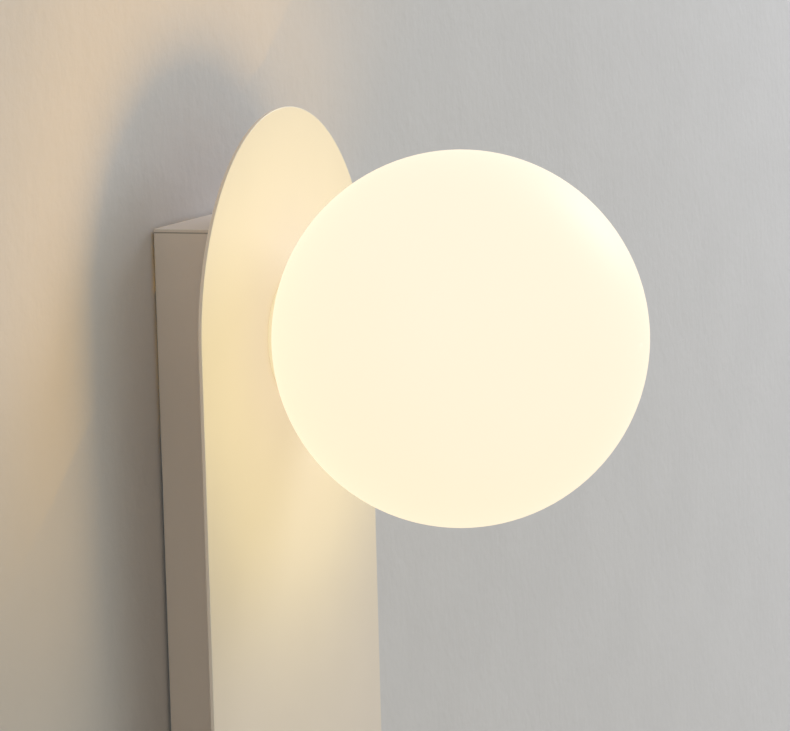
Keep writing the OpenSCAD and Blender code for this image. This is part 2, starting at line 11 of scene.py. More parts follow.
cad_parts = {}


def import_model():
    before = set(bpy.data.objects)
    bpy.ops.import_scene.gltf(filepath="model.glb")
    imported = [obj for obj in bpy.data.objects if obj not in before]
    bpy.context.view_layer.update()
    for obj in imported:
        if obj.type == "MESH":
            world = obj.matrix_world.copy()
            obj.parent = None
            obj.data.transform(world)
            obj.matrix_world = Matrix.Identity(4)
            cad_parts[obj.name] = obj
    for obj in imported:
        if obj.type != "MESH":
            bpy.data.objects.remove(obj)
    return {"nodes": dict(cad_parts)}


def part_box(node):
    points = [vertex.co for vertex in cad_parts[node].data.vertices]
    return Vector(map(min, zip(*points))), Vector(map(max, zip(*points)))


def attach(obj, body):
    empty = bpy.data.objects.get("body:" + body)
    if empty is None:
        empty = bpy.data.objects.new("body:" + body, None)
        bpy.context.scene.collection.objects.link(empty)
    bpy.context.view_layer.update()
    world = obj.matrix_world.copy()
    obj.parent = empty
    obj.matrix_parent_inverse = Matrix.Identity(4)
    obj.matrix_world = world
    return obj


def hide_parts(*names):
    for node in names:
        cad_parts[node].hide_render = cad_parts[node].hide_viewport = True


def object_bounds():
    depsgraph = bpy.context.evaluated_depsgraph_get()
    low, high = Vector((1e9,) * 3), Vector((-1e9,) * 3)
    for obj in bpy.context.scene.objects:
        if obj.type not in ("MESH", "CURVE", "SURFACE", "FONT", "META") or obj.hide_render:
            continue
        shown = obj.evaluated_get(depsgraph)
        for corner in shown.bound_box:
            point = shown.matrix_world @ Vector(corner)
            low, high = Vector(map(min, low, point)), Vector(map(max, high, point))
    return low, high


bl_info = {
    "name": "Wall sconce with a round glass globe",
    "version": (1, 0, 0),
    "blender": (4, 5, 0),
    "location": "3D View > Sidebar > Wall Sconce",
    "description": "Finishes the pieces of a wall sconce and sets it on a pale wall",
    "category": "Object",
}

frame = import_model()
CAD_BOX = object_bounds()

MM = 0.001
FULL_TURN = 2 * math.pi
QUARTER_TURN = math.pi / 2

# Limits of the mesh work: corners this close are one, faces this level are one, edges this
# sharp are rounded, and edges under the last angle are shaded smooth
MERGE = 0.002 * MM
FLAT = math.radians(0.3)
ROUNDED_OVER = math.radians(40)
SMOOTH_UNDER = math.radians(32)

# Named places of the CAD model, in metres: across, height up the wall, out from the wall
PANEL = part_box("face_panel")
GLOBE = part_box("globe")
GLOBE_HEIGHT = (GLOBE[0][2] + GLOBE[1][2]) / 2
GLOBE_R = (GLOBE[1][0] - GLOBE[0][0]) / 2
GLOBE_OUT = -GLOBE[0][1] - GLOBE_R
PANEL_W = PANEL[1][0] - PANEL[0][0]
PANEL_LEN = PANEL[1][2] - PANEL[0][2]
PANEL_T = PANEL[1][1] - PANEL[0][1]
NECK_HOLE_R = 19.6 * MM
SHEET = 1.5 * MM
WEB_FRONT = -PANEL[1][1]
WEB_BACK = WEB_FRONT - SHEET
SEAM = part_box("housing_channel")[1][2]
HOLDER_SEAT = 22 * MM

# Fasteners: shank and head radii, heights, bores, lengths under the head
M4_R, M4_HEAD_R, M4_HEAD_H = 2 * MM, 4 * MM, 2.6 * MM
M3_R, M3_HEAD_R, M3_HEAD_H = 1.5 * MM, 2.7 * MM, 1.8 * MM
GRUB_R, GRUB_HEAD_R, GRUB_HEAD_H = 1.25 * MM, 1.9 * MM, 1.8 * MM
NUT_FLATS, NUT_H, NUT_BORE_R = 7 * MM, 3.2 * MM, 2.05 * MM
WASHER_R, WASHER_T = 4.35 * MM, 0.8 * MM
STUD_LEN, STUD_TIP = 11 * MM, 0.4 * MM
CUP_RING_R, CUP_SCREW_LEN, HOLDER_SCREW_LEN = 25 * MM, 4 * MM, 4.5 * MM
THREAD_DEPTH = 0.16
CHAMFER = 0.1 * MM
CLEAR = 0.05 * MM
LEAD_R, CORE_R = 0.98 * MM, 0.7 * MM
LEAF_EDGE, CLAMP_EDGE = 0.03 * MM, 0.05 * MM

# Steps round the turned shapes
SCREW_STEPS, NUT_STEPS, WASHER_STEPS, HOLE_STEPS, LEAD_STEPS = 32, 48, 64, 96, 20

# Routes of the leads in millimetres, as in the CAD source: across, up the wall, out of it
LIVE_ROUTE = (
    (-4.5, 208.2, 26), (-4.5, 208.2, 23), (-4.5, 208.2, 19.5), (-5.5, 205.2, 13.5),
    (-6.5, 196.2, 10.5), (-7.5, 168.2, 10.5), (-10, 130, 14.5), (-12, 108, 24.4),
    (-12, 97, 28.4), (-12, 90, 28.4), (-12, 86, 28.4))
NEUTRAL_ROUTE = tuple((-across, up, out) for across, up, out in LIVE_ROUTE)
EARTH_ROUTE = (
    (0, 86, 28.4), (0, 90, 28.4), (0, 94, 28.4), (3, 98, 29.4), (11, 101, 31.4),
    (19, 103, 33.4), (22, 106, 34.4), (22, 109, 34.4), (22, 114, 34.4))
ROUTE_STEPS = 8

# The picture's width and height, the spot in it where the centre of the panel's round end
# falls, and the width of the camera's sensor in millimetres
PICTURE = (790, 731)
ROUND_END = (290.0, 324.0)
SENSOR = 36


def linear(red, green, blue):
    """Linear colour of a colour given in display values from 0 to 255."""
    out = []
    for value in (red, green, blue):
        value /= 255
        out.append(value / 12.92 if value <= 0.04045 else ((value + 0.055) / 1.055) ** 2.4)
    return tuple(out)


def number(name, description, value, **limits):
    """One number property."""
    return FloatProperty(name=name, description=description, default=value, **limits)


def length(name, description, value, **limits):
    """One length property. The value and its limits are given in millimetres."""
    limits = {limit: size * MM for limit, size in limits.items()}
    return number(name, description, value * MM, unit="LENGTH", precision=5, **limits)


def angle(name, description, degrees):
    """One angle property."""
    return number(name, description, math.radians(degrees), unit="ROTATION")


def colour(name, description, value):
    """One colour property."""
    return FloatVectorProperty(
        name=name, description=description, default=value, size=3, min=0, max=1,
        subtype="COLOR")


class SconceSizes(bpy.types.PropertyGroup):
    """Sizes of the finish that the pieces get."""

    painted_edge: length(
        "Painted edge", "Radius that the coat gives a cut sheet edge", 0.28, min=0.05, max=0.6)
    fold_edge: length(
        "Housing edge", "Radius of the coated edges of the housing", 0.25, min=0.05, max=0.5)
    cut_edge: length(
        "Bare edge", "Radius of the edges of bare sheet and small fittings", 0.12, min=0.02,
        max=0.2)
    moulded_edge: length(
        "Moulded edge", "Radius of moulded and fired edges", 0.25, min=0.05, max=0.4)
    m4_pitch: length("M4 pitch", "Pitch of the M4 threads", 0.7, min=0.4, max=1)
    m3_pitch: length("M3 pitch", "Pitch of the M3 threads", 0.5, min=0.3, max=0.8)
    panel_steps: IntProperty(
        name="Panel steps", description="Corners round the outline of the face panel",
        default=320, min=64, max=1024)
    turn_seed: IntProperty(
        name="Turn seed", description="Seed for how far each fastener is turned",
        default=4, min=0, max=99)


class SconceColours(bpy.types.PropertyGroup):
    """Colours of the finishes."""

    coat: colour("Coat", "Powder coat of panel and housing", linear(238, 226, 217))
    # The edge colour is a painted highlight on the rounded edges, laid over a thinner coat there
    coat_rim: colour("Painted highlight on edges", "Thinner coat and painted highlight along the edges", linear(253, 249, 240))
    glow: colour("Glow", "Light of the opal glass", (0.98, 0.88, 0.69))
    glow_low: colour("Glow low down", "Warmer light low on the globe", (0.98, 0.85, 0.61))
    opal: colour("Opal", "Opal glass by daylight", (0.10, 0.10, 0.10))
    zinc: colour("Zinc", "Plated steel", (0.62, 0.64, 0.66))
    spring: colour("Spring steel", "Rolled spring steel", (0.36, 0.38, 0.42))
    brass: colour("Brass", "Bare brass", (0.78, 0.58, 0.27))
    tarnish: colour("Tarnish", "Darker stains on brass", (0.42, 0.27, 0.11))
    ceramic: colour("Ceramic", "Unglazed ceramic", linear(238, 235, 226))
    plastic: colour("Plastic", "Moulded plastic", linear(236, 236, 231))
    silicone: colour("Silicone", "Silicone of the gasket", linear(244, 238, 222))
    rubber: colour("Rubber", "Rubber of the grommet", linear(62, 62, 65))
    phosphor: colour("Phosphor", "Coat over the light chips", linear(250, 214, 120))
    cap: colour("Lamp cap", "Clear cap of the lamp", linear(248, 244, 238))
    live: colour("Live lead", "Insulation of the live lead", linear(112, 66, 38))
    neutral: colour("Neutral lead", "Insulation of the neutral lead", linear(44, 88, 158))
    earth: colour("Earth lead", "Insulation of the earth lead", linear(58, 130, 60))
    stripe: colour("Earth stripe", "Stripe on the earth lead", linear(226, 208, 56))
    copper: colour("Copper", "Strands of the leads", (0.80, 0.42, 0.26))


class SconceStage(bpy.types.PropertyGroup):
    """Camera, light, wall and floor."""

    azimuth: angle("Azimuth", "Turn of the camera round the sconce", -68.62)
    elevation: angle("Elevation", "Height angle of the camera", 7.95)
    roll: angle("Roll", "Tilt of the camera about its own axis", -1.53)
    distance: length(
        "Distance", "Distance of the camera from the panel's round end", 1620.5, min=500)
    lens: number("Lens", "Focal length on a sensor 36 mm wide", 183.24, min=20)
    floor_drop: length("Floor drop", "Distance from the sconce down to the floor", 80, min=0)
    wall_colour: colour("Wall", "Painted plaster of the wall", (0.72, 0.705, 0.71))
    floor_colour: colour("Floor", "Pale floor", linear(214, 211, 206))
    backdrop: colour("Backdrop", "What stands behind wall and floor", linear(226, 225, 223))
    fill: number("Fill", "Level of the light from all round", 0.51)
    fill_colour: colour("Fill colour", "Tint of the light from all round", (1.0, 0.975, 0.83))
    key: number("Key", "Power of the large soft lamp", 25.0)
    key_colour: colour("Key colour", "Tint of the large soft lamp", (0.80, 0.87, 1.0))
    glow: number("Globe", "Level of the globe's own light", 1.0)
    glow_power: number("Globe light", "Power of the light that leaves the globe all round", 0.10)
    glow_colour: colour("Globe light colour", "Tint of the globe's light", (0.92, 1.0, 0.2))
    wall_power: number("Wall glow", "Extra power of the globe's light on the wall", 0.34)
    wall_glow: colour("Wall glow colour", "Tint of that light on the wall", (1.0, 0.50, 0.0))
    panel_power: number("Panel glow", "Extra power of the globe's light on the panel", 0.115)
    panel_glow: colour("Panel glow colour", "Tint of that light on the panel", (1.0, 0.82, 0.22))


def settings():
    """The three property groups of the scene."""
    scene = bpy.context.scene
    return scene.sconce_sizes, scene.sconce_colours, scene.sconce_stage


def scaled(tint, factor):
    """A colour times a number."""
    return tuple(channel * factor for channel in tint)


def tone(name, factor=1.0):
    """One of the finishes' colours, times a number."""
    return scaled(getattr(settings()[1], name), factor)


class Link:
    """An output of a node. Arithmetic on it adds the Math nodes."""

    def __init__(self, graph, node, socket):
        self.graph = graph
        self.node = node
        self.socket = socket

    def out(self, name):
        """Another output of the same node."""
        return Link(self.graph, self.node, self.node.outputs[name])

    def math(self, operation, *others):
        """A Math node on this output and the others."""
        operands = dict(enumerate((self, *others)))
        return self.graph.add("ShaderNodeMath", {"operation": operation}, operands)

    def __add__(self, other):
        return self.math("ADD", other)

    def __mul__(self, other):
        return self.math("MULTIPLY", other)

    __radd__ = __add__
    __rmul__ = __mul__

    def __sub__(self, other):
        return self.math("SUBTRACT", other)

    def __rsub__(self, other):
        return self * -1.0 + other

    def __truediv__(self, other):
        return self.math("DIVIDE", other)

    def ramp(self, low, high):
        """0 below low, 1 above high, smooth between them."""
        return self.graph.add("ShaderNodeMapRange", {"interpolation_type": "SMOOTHSTEP"},
                              Value=self, From_Min=low, From_Max=high)


class Graph:
    """A node tree that is filled through add()."""

    def __init__(self, tree):
        self.tree = tree

    def add(self, kind, options=None, numbered=None, output=0, **named):
        """Adds a node, its options first, then the values or links of its sockets.

        They are given by number, or by name with _ for a space.
        """
        node = self.tree.nodes.new(kind)
        for name, value in (options or {}).items():
            setattr(node, name, value)
        by_name = {name.replace("_", " "): value for name, value in named.items()}
        for key, value in {**(numbered or {}), **by_name}.items():
            socket = node.inputs[key]
            if isinstance(value, Link):
                self.tree.links.new(value.socket, socket)
            else:
                no_alpha = socket.type == "RGBA" and len(value) == 3
                socket.default_value = (*value, 1.0) if no_alpha else value
        return Link(self, node, node.outputs[output]) if len(node.outputs) else node

    def joined(self, *parts):
        """Joins geometries."""
        node = self.tree.nodes.new("GeometryNodeJoinGeometry")
        for part in parts:
            self.tree.links.new(part.socket, node.inputs[0])
        return Link(self, node, node.outputs[0])

    def vector(self, **parts):
        """A vector from its X, Y and Z."""
        return self.add("ShaderNodeCombineXYZ", **parts)

    def axis(self, vector, name):
        """X, Y or Z of a vector."""
        return self.add("ShaderNodeSeparateXYZ", output=name, Vector=vector)


class Finish(Graph):
    """A material whose pattern reads the place on the object."""

    def __init__(self, name):
        self.material = bpy.data.materials.new(name)
        self.material.use_nodes = True
        super().__init__(self.material.node_tree)
        self.tree.nodes.clear()
        self.place = self.add("ShaderNodeTexCoord", output="Object")

    def stretched(self, scale):
        """The place with each axis scaled."""
        return self.add("ShaderNodeMapping", Vector=self.place, Scale=scale)

    def noise(self, size, detail=2.0, place=None):
        """Soft noise from 0 to 1 whose patches are about size metres wide."""
        return self.add("ShaderNodeTexNoise", Vector=place or self.place, Scale=1 / size,
                        Detail=detail)

    def attribute(self, name, output="Fac"):
        """A number or vector that the mesh carries."""
        return self.add("ShaderNodeAttribute", {"attribute_name": name}, output=output)

    def mix(self, factor, first, second):
        """Blends two colours."""
        return self.add("ShaderNodeMix", {"data_type": "RGBA"},
                        {0: factor, 6: first, 7: second}, output=2)

    def bump(self, height, depth, strength=0.5):
        """A normal that follows height, which is depth metres high."""
        return self.add("ShaderNodeBump", Height=height, Distance=depth, Strength=strength)

    def surface(self, **sockets):
        """The surface shader."""
        return self.add("ShaderNodeBsdfPrincipled", **sockets)

    def finish(self, **sockets):
        """Sets the surface shader and returns the material."""
        self.add("ShaderNodeOutputMaterial", Surface=self.surface(**sockets))
        return self.material


@cache
def powder_coat():
    """Fine satin powder coat, thinner along the edges, with a painted highlight on the rounded edges
    and painted shade in the seam groove.
    """
    coat = Finish("cream powder coat")
    peel = coat.noise(1.3 * MM, 3.0)
    grain = coat.noise(0.28 * MM)
    cloud = coat.noise(70 * MM)
    rim = coat.attribute("rim").ramp(0.1, 0.9)
    body = coat.mix(cloud.ramp(0.3, 0.7), tone("coat", 0.97), tone("coat"))
    body = coat.mix(grain.ramp(0.55, 0.8) * 0.18, body, tone("coat", 0.86))
    # Painted highlight: the rounded edges are mixed towards a lighter colour, as if they caught the
    # light, besides a thinner coat there
    body = coat.mix(rim * 0.4, body, tone("coat_rim"))
    # Painted shade: the coat darkens in the seam groove between the channel and its end plates,
    # behind the panel
    from_seam = (coat.axis(coat.place, "Z").math("ABSOLUTE") - SEAM).math("ABSOLUTE")
    seam_shade = 1 - from_seam.ramp(0.12 * MM, 0.4 * MM)
    behind_panel = (coat.axis(coat.place, "Y") + WEB_FRONT).ramp(0.0, 0.2 * MM)
    body = coat.mix(seam_shade * behind_panel * 0.7, body, tone("coat", 0.3))
    return coat.finish(
        Base_Color=body, Roughness=grain * 0.14 + cloud * 0.05 + 0.36 - rim * 0.06,
        Specular_IOR_Level=0.42, Normal=coat.bump(peel * 0.7 + grain * 0.3, 0.03 * MM, 0.55))


@cache
def opal_glass():
    """Satin opal glass that glows evenly, warmer low down and near the neck."""
    glass = Finish("lit opal glass")
    height = (glass.axis(glass.place, "Z") - GLOBE_HEIGHT) / GLOBE_R
    out = (glass.axis(glass.place, "Y") * -1.0 - GLOBE_OUT) / GLOBE_R
    haze = glass.noise(45 * MM)
    warm = (height * -0.6 - out * 0.45 + haze * 0.25).ramp(-0.7, 1.0)
    frost = glass.noise(0.5 * MM)
    return glass.finish(
        Base_Color=tone("opal"), Roughness=frost * 0.08 + 0.46, Specular_IOR_Level=0.08,
        Emission_Color=glass.mix(warm, tone("glow"), tone("glow_low")),
        Emission_Strength=settings()[2].glow, Normal=glass.bump(frost, 0.01 * MM, 0.3))


@cache
def galvanised():
    """Galvanised sheet with a soft spangle and faint rolling marks."""
    sheet = Finish("galvanised sheet")
    spangle = sheet.add("ShaderNodeTexVoronoi", {"feature": "F1"}, output="Color",
                        Vector=sheet.place, Scale=1 / (9 * MM))
    shade = sheet.add("ShaderNodeSeparateColor", Color=spangle)
    rolled = sheet.noise(0.4 * MM, place=sheet.stretched((1.0, 1.0, 0.02)))
    dull = sheet.noise(30 * MM, 3.0)
    body = sheet.mix(shade * 0.32, tone("zinc"), tone("zinc", 0.72))
    body = sheet.mix(dull.ramp(0.5, 0.8) * 0.4, body, tone("zinc", 0.6))
    return sheet.finish(
        Base_Color=body, Roughness=shade * 0.16 + rolled * 0.1 + dull * 0.12 + 0.22,
        Metallic=1.0, Normal=sheet.bump(rolled, 0.01 * MM))


@cache
def plated():
    """Zinc plated fasteners, a little dull and handled."""
    steel = Finish("zinc plated steel")
    cloud = steel.noise(3 * MM, 3.0)
    speck = steel.noise(0.25 * MM)
    body = steel.mix(cloud.ramp(0.35, 0.75) * 0.5, tone("zinc"), tone("zinc", 0.7))
    return steel.finish(
        Base_Color=body, Roughness=cloud * 0.2 + speck * 0.1 + 0.18, Metallic=1.0,
        Normal=steel.bump(speck, 0.008 * MM))


@cache
def spring_steel():
    """Rolled spring steel with grain along the strip."""
    steel = Finish("rolled spring steel")
    grain = steel.noise(0.3 * MM, 3.0, steel.stretched((0.06, 0.06, 1.0)))
    stain = steel.noise(6 * MM)
    body = steel.mix(grain * 0.5, tone("spring"), tone("spring", 0.65))
    body = steel.mix(stain.ramp(0.5, 0.8) * 0.4, body, tone("spring", 0.8))
    return steel.finish(
        Base_Color=body, Roughness=grain * 0.22 + 0.2, Metallic=1.0,
        Normal=steel.bump(grain, 0.012 * MM, 0.6))


@cache
def brass():
    """Bare brass with light tarnish."""
    metal = Finish("bare brass")
    stain = metal.noise(2.5 * MM, 4.0)
    turned = metal.noise(0.15 * MM)
    body = metal.mix(stain.ramp(0.5, 0.78) * 0.7, tone("brass"), tone("tarnish"))
    return metal.finish(
        Base_Color=body, Roughness=stain * 0.25 + turned * 0.08 + 0.16, Metallic=1.0,
        Normal=metal.bump(turned, 0.006 * MM))


@cache
def ceramic():
    """Unglazed ceramic with fine specks."""
    body = Finish("unglazed ceramic")
    speck = body.noise(0.35 * MM, 3.0)
    cloud = body.noise(5 * MM)
    tint = body.mix(speck.ramp(0.66, 0.74) * 0.35, tone("ceramic"), tone("ceramic", 0.55))
    tint = body.mix(cloud * 0.2, tint, tone("ceramic", 0.85))
    return body.finish(
        Base_Color=tint, Roughness=speck * 0.15 + 0.55, Specular_IOR_Level=0.35,
        Normal=body.bump(speck, 0.02 * MM))


@cache
def moulded():
    """Moulded plastic with an eroded mould's fine grain."""
    plastic = Finish("moulded white plastic")
    grain = plastic.noise(0.22 * MM)
    flow = plastic.noise(8 * MM)
    return plastic.finish(
        Base_Color=plastic.mix(flow * 0.25, tone("plastic"), tone("plastic", 0.88)),
        Roughness=grain * 0.12 + 0.34, Normal=plastic.bump(grain, 0.012 * MM))


@cache
def soft(name, tint, worn, size, rough, glow=0.0):
    """Matt rubber or silicone with a fine skin; glow is painted light, an emission that stands in
    for the globe's light in the silicone.
    """
    skin = Finish(name)
    grain = skin.noise(size, 3.0)
    dust = skin.noise(20 * size)
    return skin.finish(
        Base_Color=skin.mix(dust.ramp(0.45, 0.8) * 0.3, tint, worn),
        Roughness=grain * 0.14 + rough, Specular_IOR_Level=0.4,
        # The emission is painted light: the globe's light shown in the silicone, which is no lamp
        Emission_Color=(1.0, 0.86, 0.5), Emission_Strength=glow,
        Normal=skin.bump(grain, 0.01 * MM))


@cache
def lamp_cap():
    """Clear cap of the lamp, a little milky."""
    glass = Finish("clear lamp cap")
    milk = glass.noise(4 * MM)
    return glass.finish(
        Base_Color=glass.mix(milk * 0.3, tone("cap"), tone("cap", 0.94)),
        Roughness=milk * 0.1 + 0.08, IOR=1.47, Transmission_Weight=0.85)


@cache
def phosphor():
    """Rows of light chips under a yellow coat."""
    chips = Finish("phosphor coated chips")
    row = (chips.axis(chips.place, "Y") / (3.2 * MM)).math("FRACT")
    gap = (row - 0.5).math("ABSOLUTE").ramp(0.36, 0.44)
    grain = chips.noise(0.3 * MM)
    tint = chips.mix(gap * 0.8, tone("phosphor"), linear(236, 232, 220))
    return chips.finish(
        Base_Color=tint, Roughness=grain * 0.2 + 0.5, Emission_Color=tint,
        Emission_Strength=0.6, Normal=chips.bump(gap * -1.0 + grain * 0.2, 0.15 * MM, 0.7))


@cache
def insulation(name, tint, stripe=None):
    """Lead insulation; the earth lead has a stripe along it. The bared ends show copper."""
    lead = Finish(name)
    grain = lead.noise(0.2 * MM)
    around = lead.axis(lead.attribute("around", "Vector"), "X")
    turn = around.out("Y").math("ARCTAN2", around) / FULL_TURN
    bare = lead.attribute("bare").ramp(0.4, 0.6)
    body = lead.mix(grain * 0.3, tint, scaled(tint, 0.8))
    if stripe:
        body = lead.mix(around.ramp(0.45, 0.52), body, stripe)
    twist = (turn * 7.0 + lead.attribute("along") * 180.0).math("FRACT")
    strand = (twist - 0.5).math("ABSOLUTE") * 2.0
    metal = lead.mix(strand * 0.6, tone("copper", 0.5), tone("copper"))
    return lead.finish(
        Base_Color=lead.mix(bare, body, metal), Metallic=bare,
        Roughness=grain * 0.12 + 0.38 - bare * 0.12,
        Normal=lead.bump(strand * bare + grain * 0.2, 0.05 * MM))


def add_object(name, data):
    """Links a new object to the scene."""
    piece = bpy.data.objects.new(name, data)
    bpy.context.scene.collection.objects.link(piece)
    return piece


def drop(piece):
    """Deletes a helper object and its mesh."""
    mesh = piece.data
    bpy.data.objects.remove(piece)
    bpy.data.meshes.remove(mesh)


def settled(piece):
    """The object's mesh with its modifiers worked in."""
    bpy.context.view_layer.update()
    graph = bpy.context.evaluated_depsgraph_get()
    mesh = bpy.data.meshes.new_from_object(
        piece.evaluated_get(graph), preserve_all_data_layers=True, depsgraph=graph)
    name = piece.name
    drop(piece)
    mesh.name = name
    return mesh


def check_closed(mesh):
    """Raises an error where a mesh is open or inside out."""
    body = bmesh.new()
    body.from_mesh(mesh)
    loose = [edge for edge in body.edges if not edge.is_manifold]
    volume = body.calc_volume(signed=True)
    body.free()
    if loose or volume <= 0:
        raise RuntimeError(f"{mesh.name}: {len(loose)} open edges, volume {volume}")


def smooth(mesh):
    """Smooth shading, split at sharp edges, with the large faces kept even."""
    mesh.shade_smooth()
    mesh.set_sharp_from_angle(angle=SMOOTH_UNDER)
    piece = add_object("evened", mesh)
    even = piece.modifiers.new("even", "WEIGHTED_NORMAL")
    even.keep_sharp = True
    return settled(piece)


def present(name, mesh, body, material, node):
    """Shows a finished mesh for a CAD node: it rides on its body and takes the material."""
    check_closed(mesh)
    mesh = smooth(mesh)
    mesh.materials.clear()
    mesh.materials.append(material)
    for face in mesh.polygons:
        face.material_index = 0
    mesh.name = name
    piece = add_object(name, mesh)
    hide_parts(node)
    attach(piece, body)


def dress(node, material):
    """Gives a CAD node whose shape is right its finish."""
    mesh = frame["nodes"][node].data
    if not mesh.materials:
        mesh.materials.append(material)
    for index in range(len(mesh.materials)):
        mesh.materials[index] = material


def rounded_off(mesh, edge, steps):
    """Joins a mesh's flat faces and rounds its edges, marked by the attribute rim."""
    body = bmesh.new()
    body.from_mesh(mesh)
    rim = body.faces.layers.float.new("rim")
    bmesh.ops.remove_doubles(body, verts=body.verts, dist=MERGE)
    bmesh.ops.dissolve_limit(body, angle_limit=FLAT, verts=body.verts, edges=body.edges)
    bmesh.ops.recalc_face_normals(body, faces=body.faces)
    sharp = [side for side in body.edges if side.calc_face_angle(0.0) > ROUNDED_OVER]
    rounded = bmesh.ops.bevel(
        body, geom=sharp, offset=edge, offset_type="OFFSET", segments=steps, profile=0.5,
        affect="EDGES", clamp_overlap=False)
    for face in rounded["faces"]:
        face[rim] = 1.0
    bmesh.ops.triangulate(body, faces=[face for face in body.faces if len(face.verts) > 4])
    body.to_mesh(mesh)
    body.free()
    return mesh


def soften(name, node, body, material, edge, steps=2):
    """Shows a copy of a CAD node with rounded edges in its place."""
    source = frame["nodes"][node].data
    mesh = bpy.data.meshes.new(node)
    mesh.from_pydata(
        [vertex.co[:] for vertex in source.vertices], [],
        [face.vertices[:] for face in source.polygons])
    present(name, rounded_off(mesh, edge, steps), body, material, node)


def mesh_of(body):
    """Mesh of a bmesh, which is freed."""
    mesh = bpy.data.meshes.new("shape")
    body.to_mesh(mesh)
    body.free()
    return mesh


def bridge(body, low, high):
    """Faces between two rings of corners. A ring of one corner closes to a tip."""
    count = max(len(low), len(high))
    for step in range(count):
        after = (step + 1) % count
        corners = dict.fromkeys((low[step % len(low)], low[after % len(low)],
                                 high[after % len(high)], high[step % len(high)]))
        if len(corners) > 2:
            body.faces.new(list(corners))


def on_circle(radius, turn, height):
    """A point on a circle about Z."""
    return radius * math.cos(turn), radius * math.sin(turn), height


def lathe(profile, steps, thread=None, closed=False):
    """Closed mesh turned about Z from (radius, height) pairs, bottom first.

    thread is (start, end, pitch, depth): within it the radius follows a cut thread. With closed
    the profile is a loop, as a washer's is.
    """
    flank = 1.25
    body = bmesh.new()
    rings = []
    for radius, height in profile:
        ring = []
        for step in range(steps if radius else 1):
            reach = radius
            if thread and radius and thread[0] <= height <= thread[1]:
                start, end, pitch, depth = thread
                wave = abs(((height - start) / pitch - step / steps) % 1.0 * 2 - 1)
                fade = min(1.0, (height - start) / pitch, (end - height) / pitch)
                reach = radius - depth * min(1.0, flank * wave) * max(0.0, fade)
            ring.append(body.verts.new(on_circle(reach, FULL_TURN * step / steps, height)))
        rings.append(ring)
    for low, high in zip(rings, rings[1:] + (rings[:1] if closed else [])):
        bridge(body, low, high)
    return mesh_of(body)


def shank_rows(radius, start, end, pitch):
    """Profile rows close enough together for a thread."""
    rows_per_turn = 6
    count = max(2, round((end - start) / pitch * rows_per_turn))
    return [(radius, start + (end - start) * row / count) for row in range(count + 1)]


def rounded_rim(radius, height, fillet, upward):
    """Profile points round the outer edge of a disc."""
    steps = 4
    points = []
    for step in range(steps + 1):
        turn = QUARTER_TURN * step / steps
        points.append((radius - fillet + fillet * math.cos(turn),
                       height - upward * fillet + upward * fillet * math.sin(turn)))
    return points if upward > 0 else points[::-1]


def cross_cutter(reach, depth, top):
    """Tapered cross that cuts a driver recess down from top."""
    wing = 0.30
    plan = [(1, -wing), (1, wing), (wing, wing), (wing, 1), (-wing, 1), (-wing, wing),
            (-1, wing), (-1, -wing), (-wing, -wing), (-wing, -1), (wing, -1), (wing, -wing)]
    body = bmesh.new()
    rings = []
    for drop_to, scale in ((-depth, 0.45), (-0.35 * depth, 0.9), (depth, 1.1)):
        rings.append([body.verts.new((x * reach * scale, y * reach * scale, top + drop_to))
                      for x, y in plan])
    for low, high in zip(rings, rings[1:]):
        bridge(body, low, high)
    body.faces.new(rings[0][::-1])
    body.faces.new(rings[-1])
    bmesh.ops.triangulate(body, faces=[face for face in body.faces if len(face.verts) > 4])
    return mesh_of(body)


def slot_cutter(reach, width, depth):
    """Bar that cuts a straight driver slot into a head whose top is at Z = 0."""
    body = bmesh.new()
    bmesh.ops.create_cube(body, size=1.0)
    for corner in body.verts:
        corner.co = (corner.co.x * 2 * reach, corner.co.y * width, corner.co.z * 2 * depth)
    off_corners = Matrix.Rotation(0.05, 4, "Z")
    bmesh.ops.transform(body, matrix=off_corners, verts=body.verts)
    return mesh_of(body)


def cut_out(shape, tool):
    """Mesh of a shape with the tool's shape cut from it."""
    blank = add_object("blank", shape)
    cutter = add_object("cutter", tool)
    cut = blank.modifiers.new("recess", "BOOLEAN")
    cut.operation = "DIFFERENCE"
    cut.solver = "EXACT"
    cut.object = cutter
    mesh = settled(blank)
    drop(cutter)
    return mesh


def slotted_screw(shank_r, head_r, head_h, reach, pitch):
    """Cheese head screw along Z whose slotted top is at Z = 0 and whose tip is reach below it."""
    edge, slot_width, slot_depth = 0.15 * MM, 0.5 * MM, 0.8 * MM
    start = 2 * edge - reach
    profile = [(0, -reach), (shank_r - 2 * edge, -reach)]
    profile += shank_rows(shank_r, start, -head_h - CLEAR, pitch)
    profile += [(shank_r, -head_h), (head_r - edge, -head_h), (head_r, edge - head_h)]
    profile += rounded_rim(head_r, 0, edge, 1) + [(0, 0)]
    thread = (start, -head_h - 2 * CLEAR, pitch, THREAD_DEPTH * shank_r)
    blank = lathe(profile, SCREW_STEPS, thread)
    return cut_out(blank, slot_cutter(2 * head_r, slot_width, slot_depth))


def screw(shank_r, reach, head_r, head_h, pitch):
    """Pan head screw along Z with a cross recess. Its head stands on Z = 0."""
    point, fillet = 0.25 * shank_r, 0.42 * head_h
    recess_r, recess_depth = 0.62 * head_r, 0.6 * head_h
    start = point - reach
    profile = [(0, -reach), (shank_r - point, -reach)]
    profile += shank_rows(shank_r, start, -CLEAR, pitch)
    profile += [(shank_r, 0), (head_r - CHAMFER, 0), (head_r, CHAMFER)]
    profile += rounded_rim(head_r, head_h, fillet, 1) + [(0, head_h)]
    thread = (start, -2 * CLEAR, pitch, THREAD_DEPTH * shank_r)
    blank = lathe(profile, SCREW_STEPS, thread)
    return cut_out(blank, cross_cutter(recess_r, recess_depth, head_h))


def small_screw(reach):
    """Pan head M3 screw, reach long under its head."""
    return screw(M3_R, reach, M3_HEAD_R, M3_HEAD_H, settings()[0].m3_pitch)


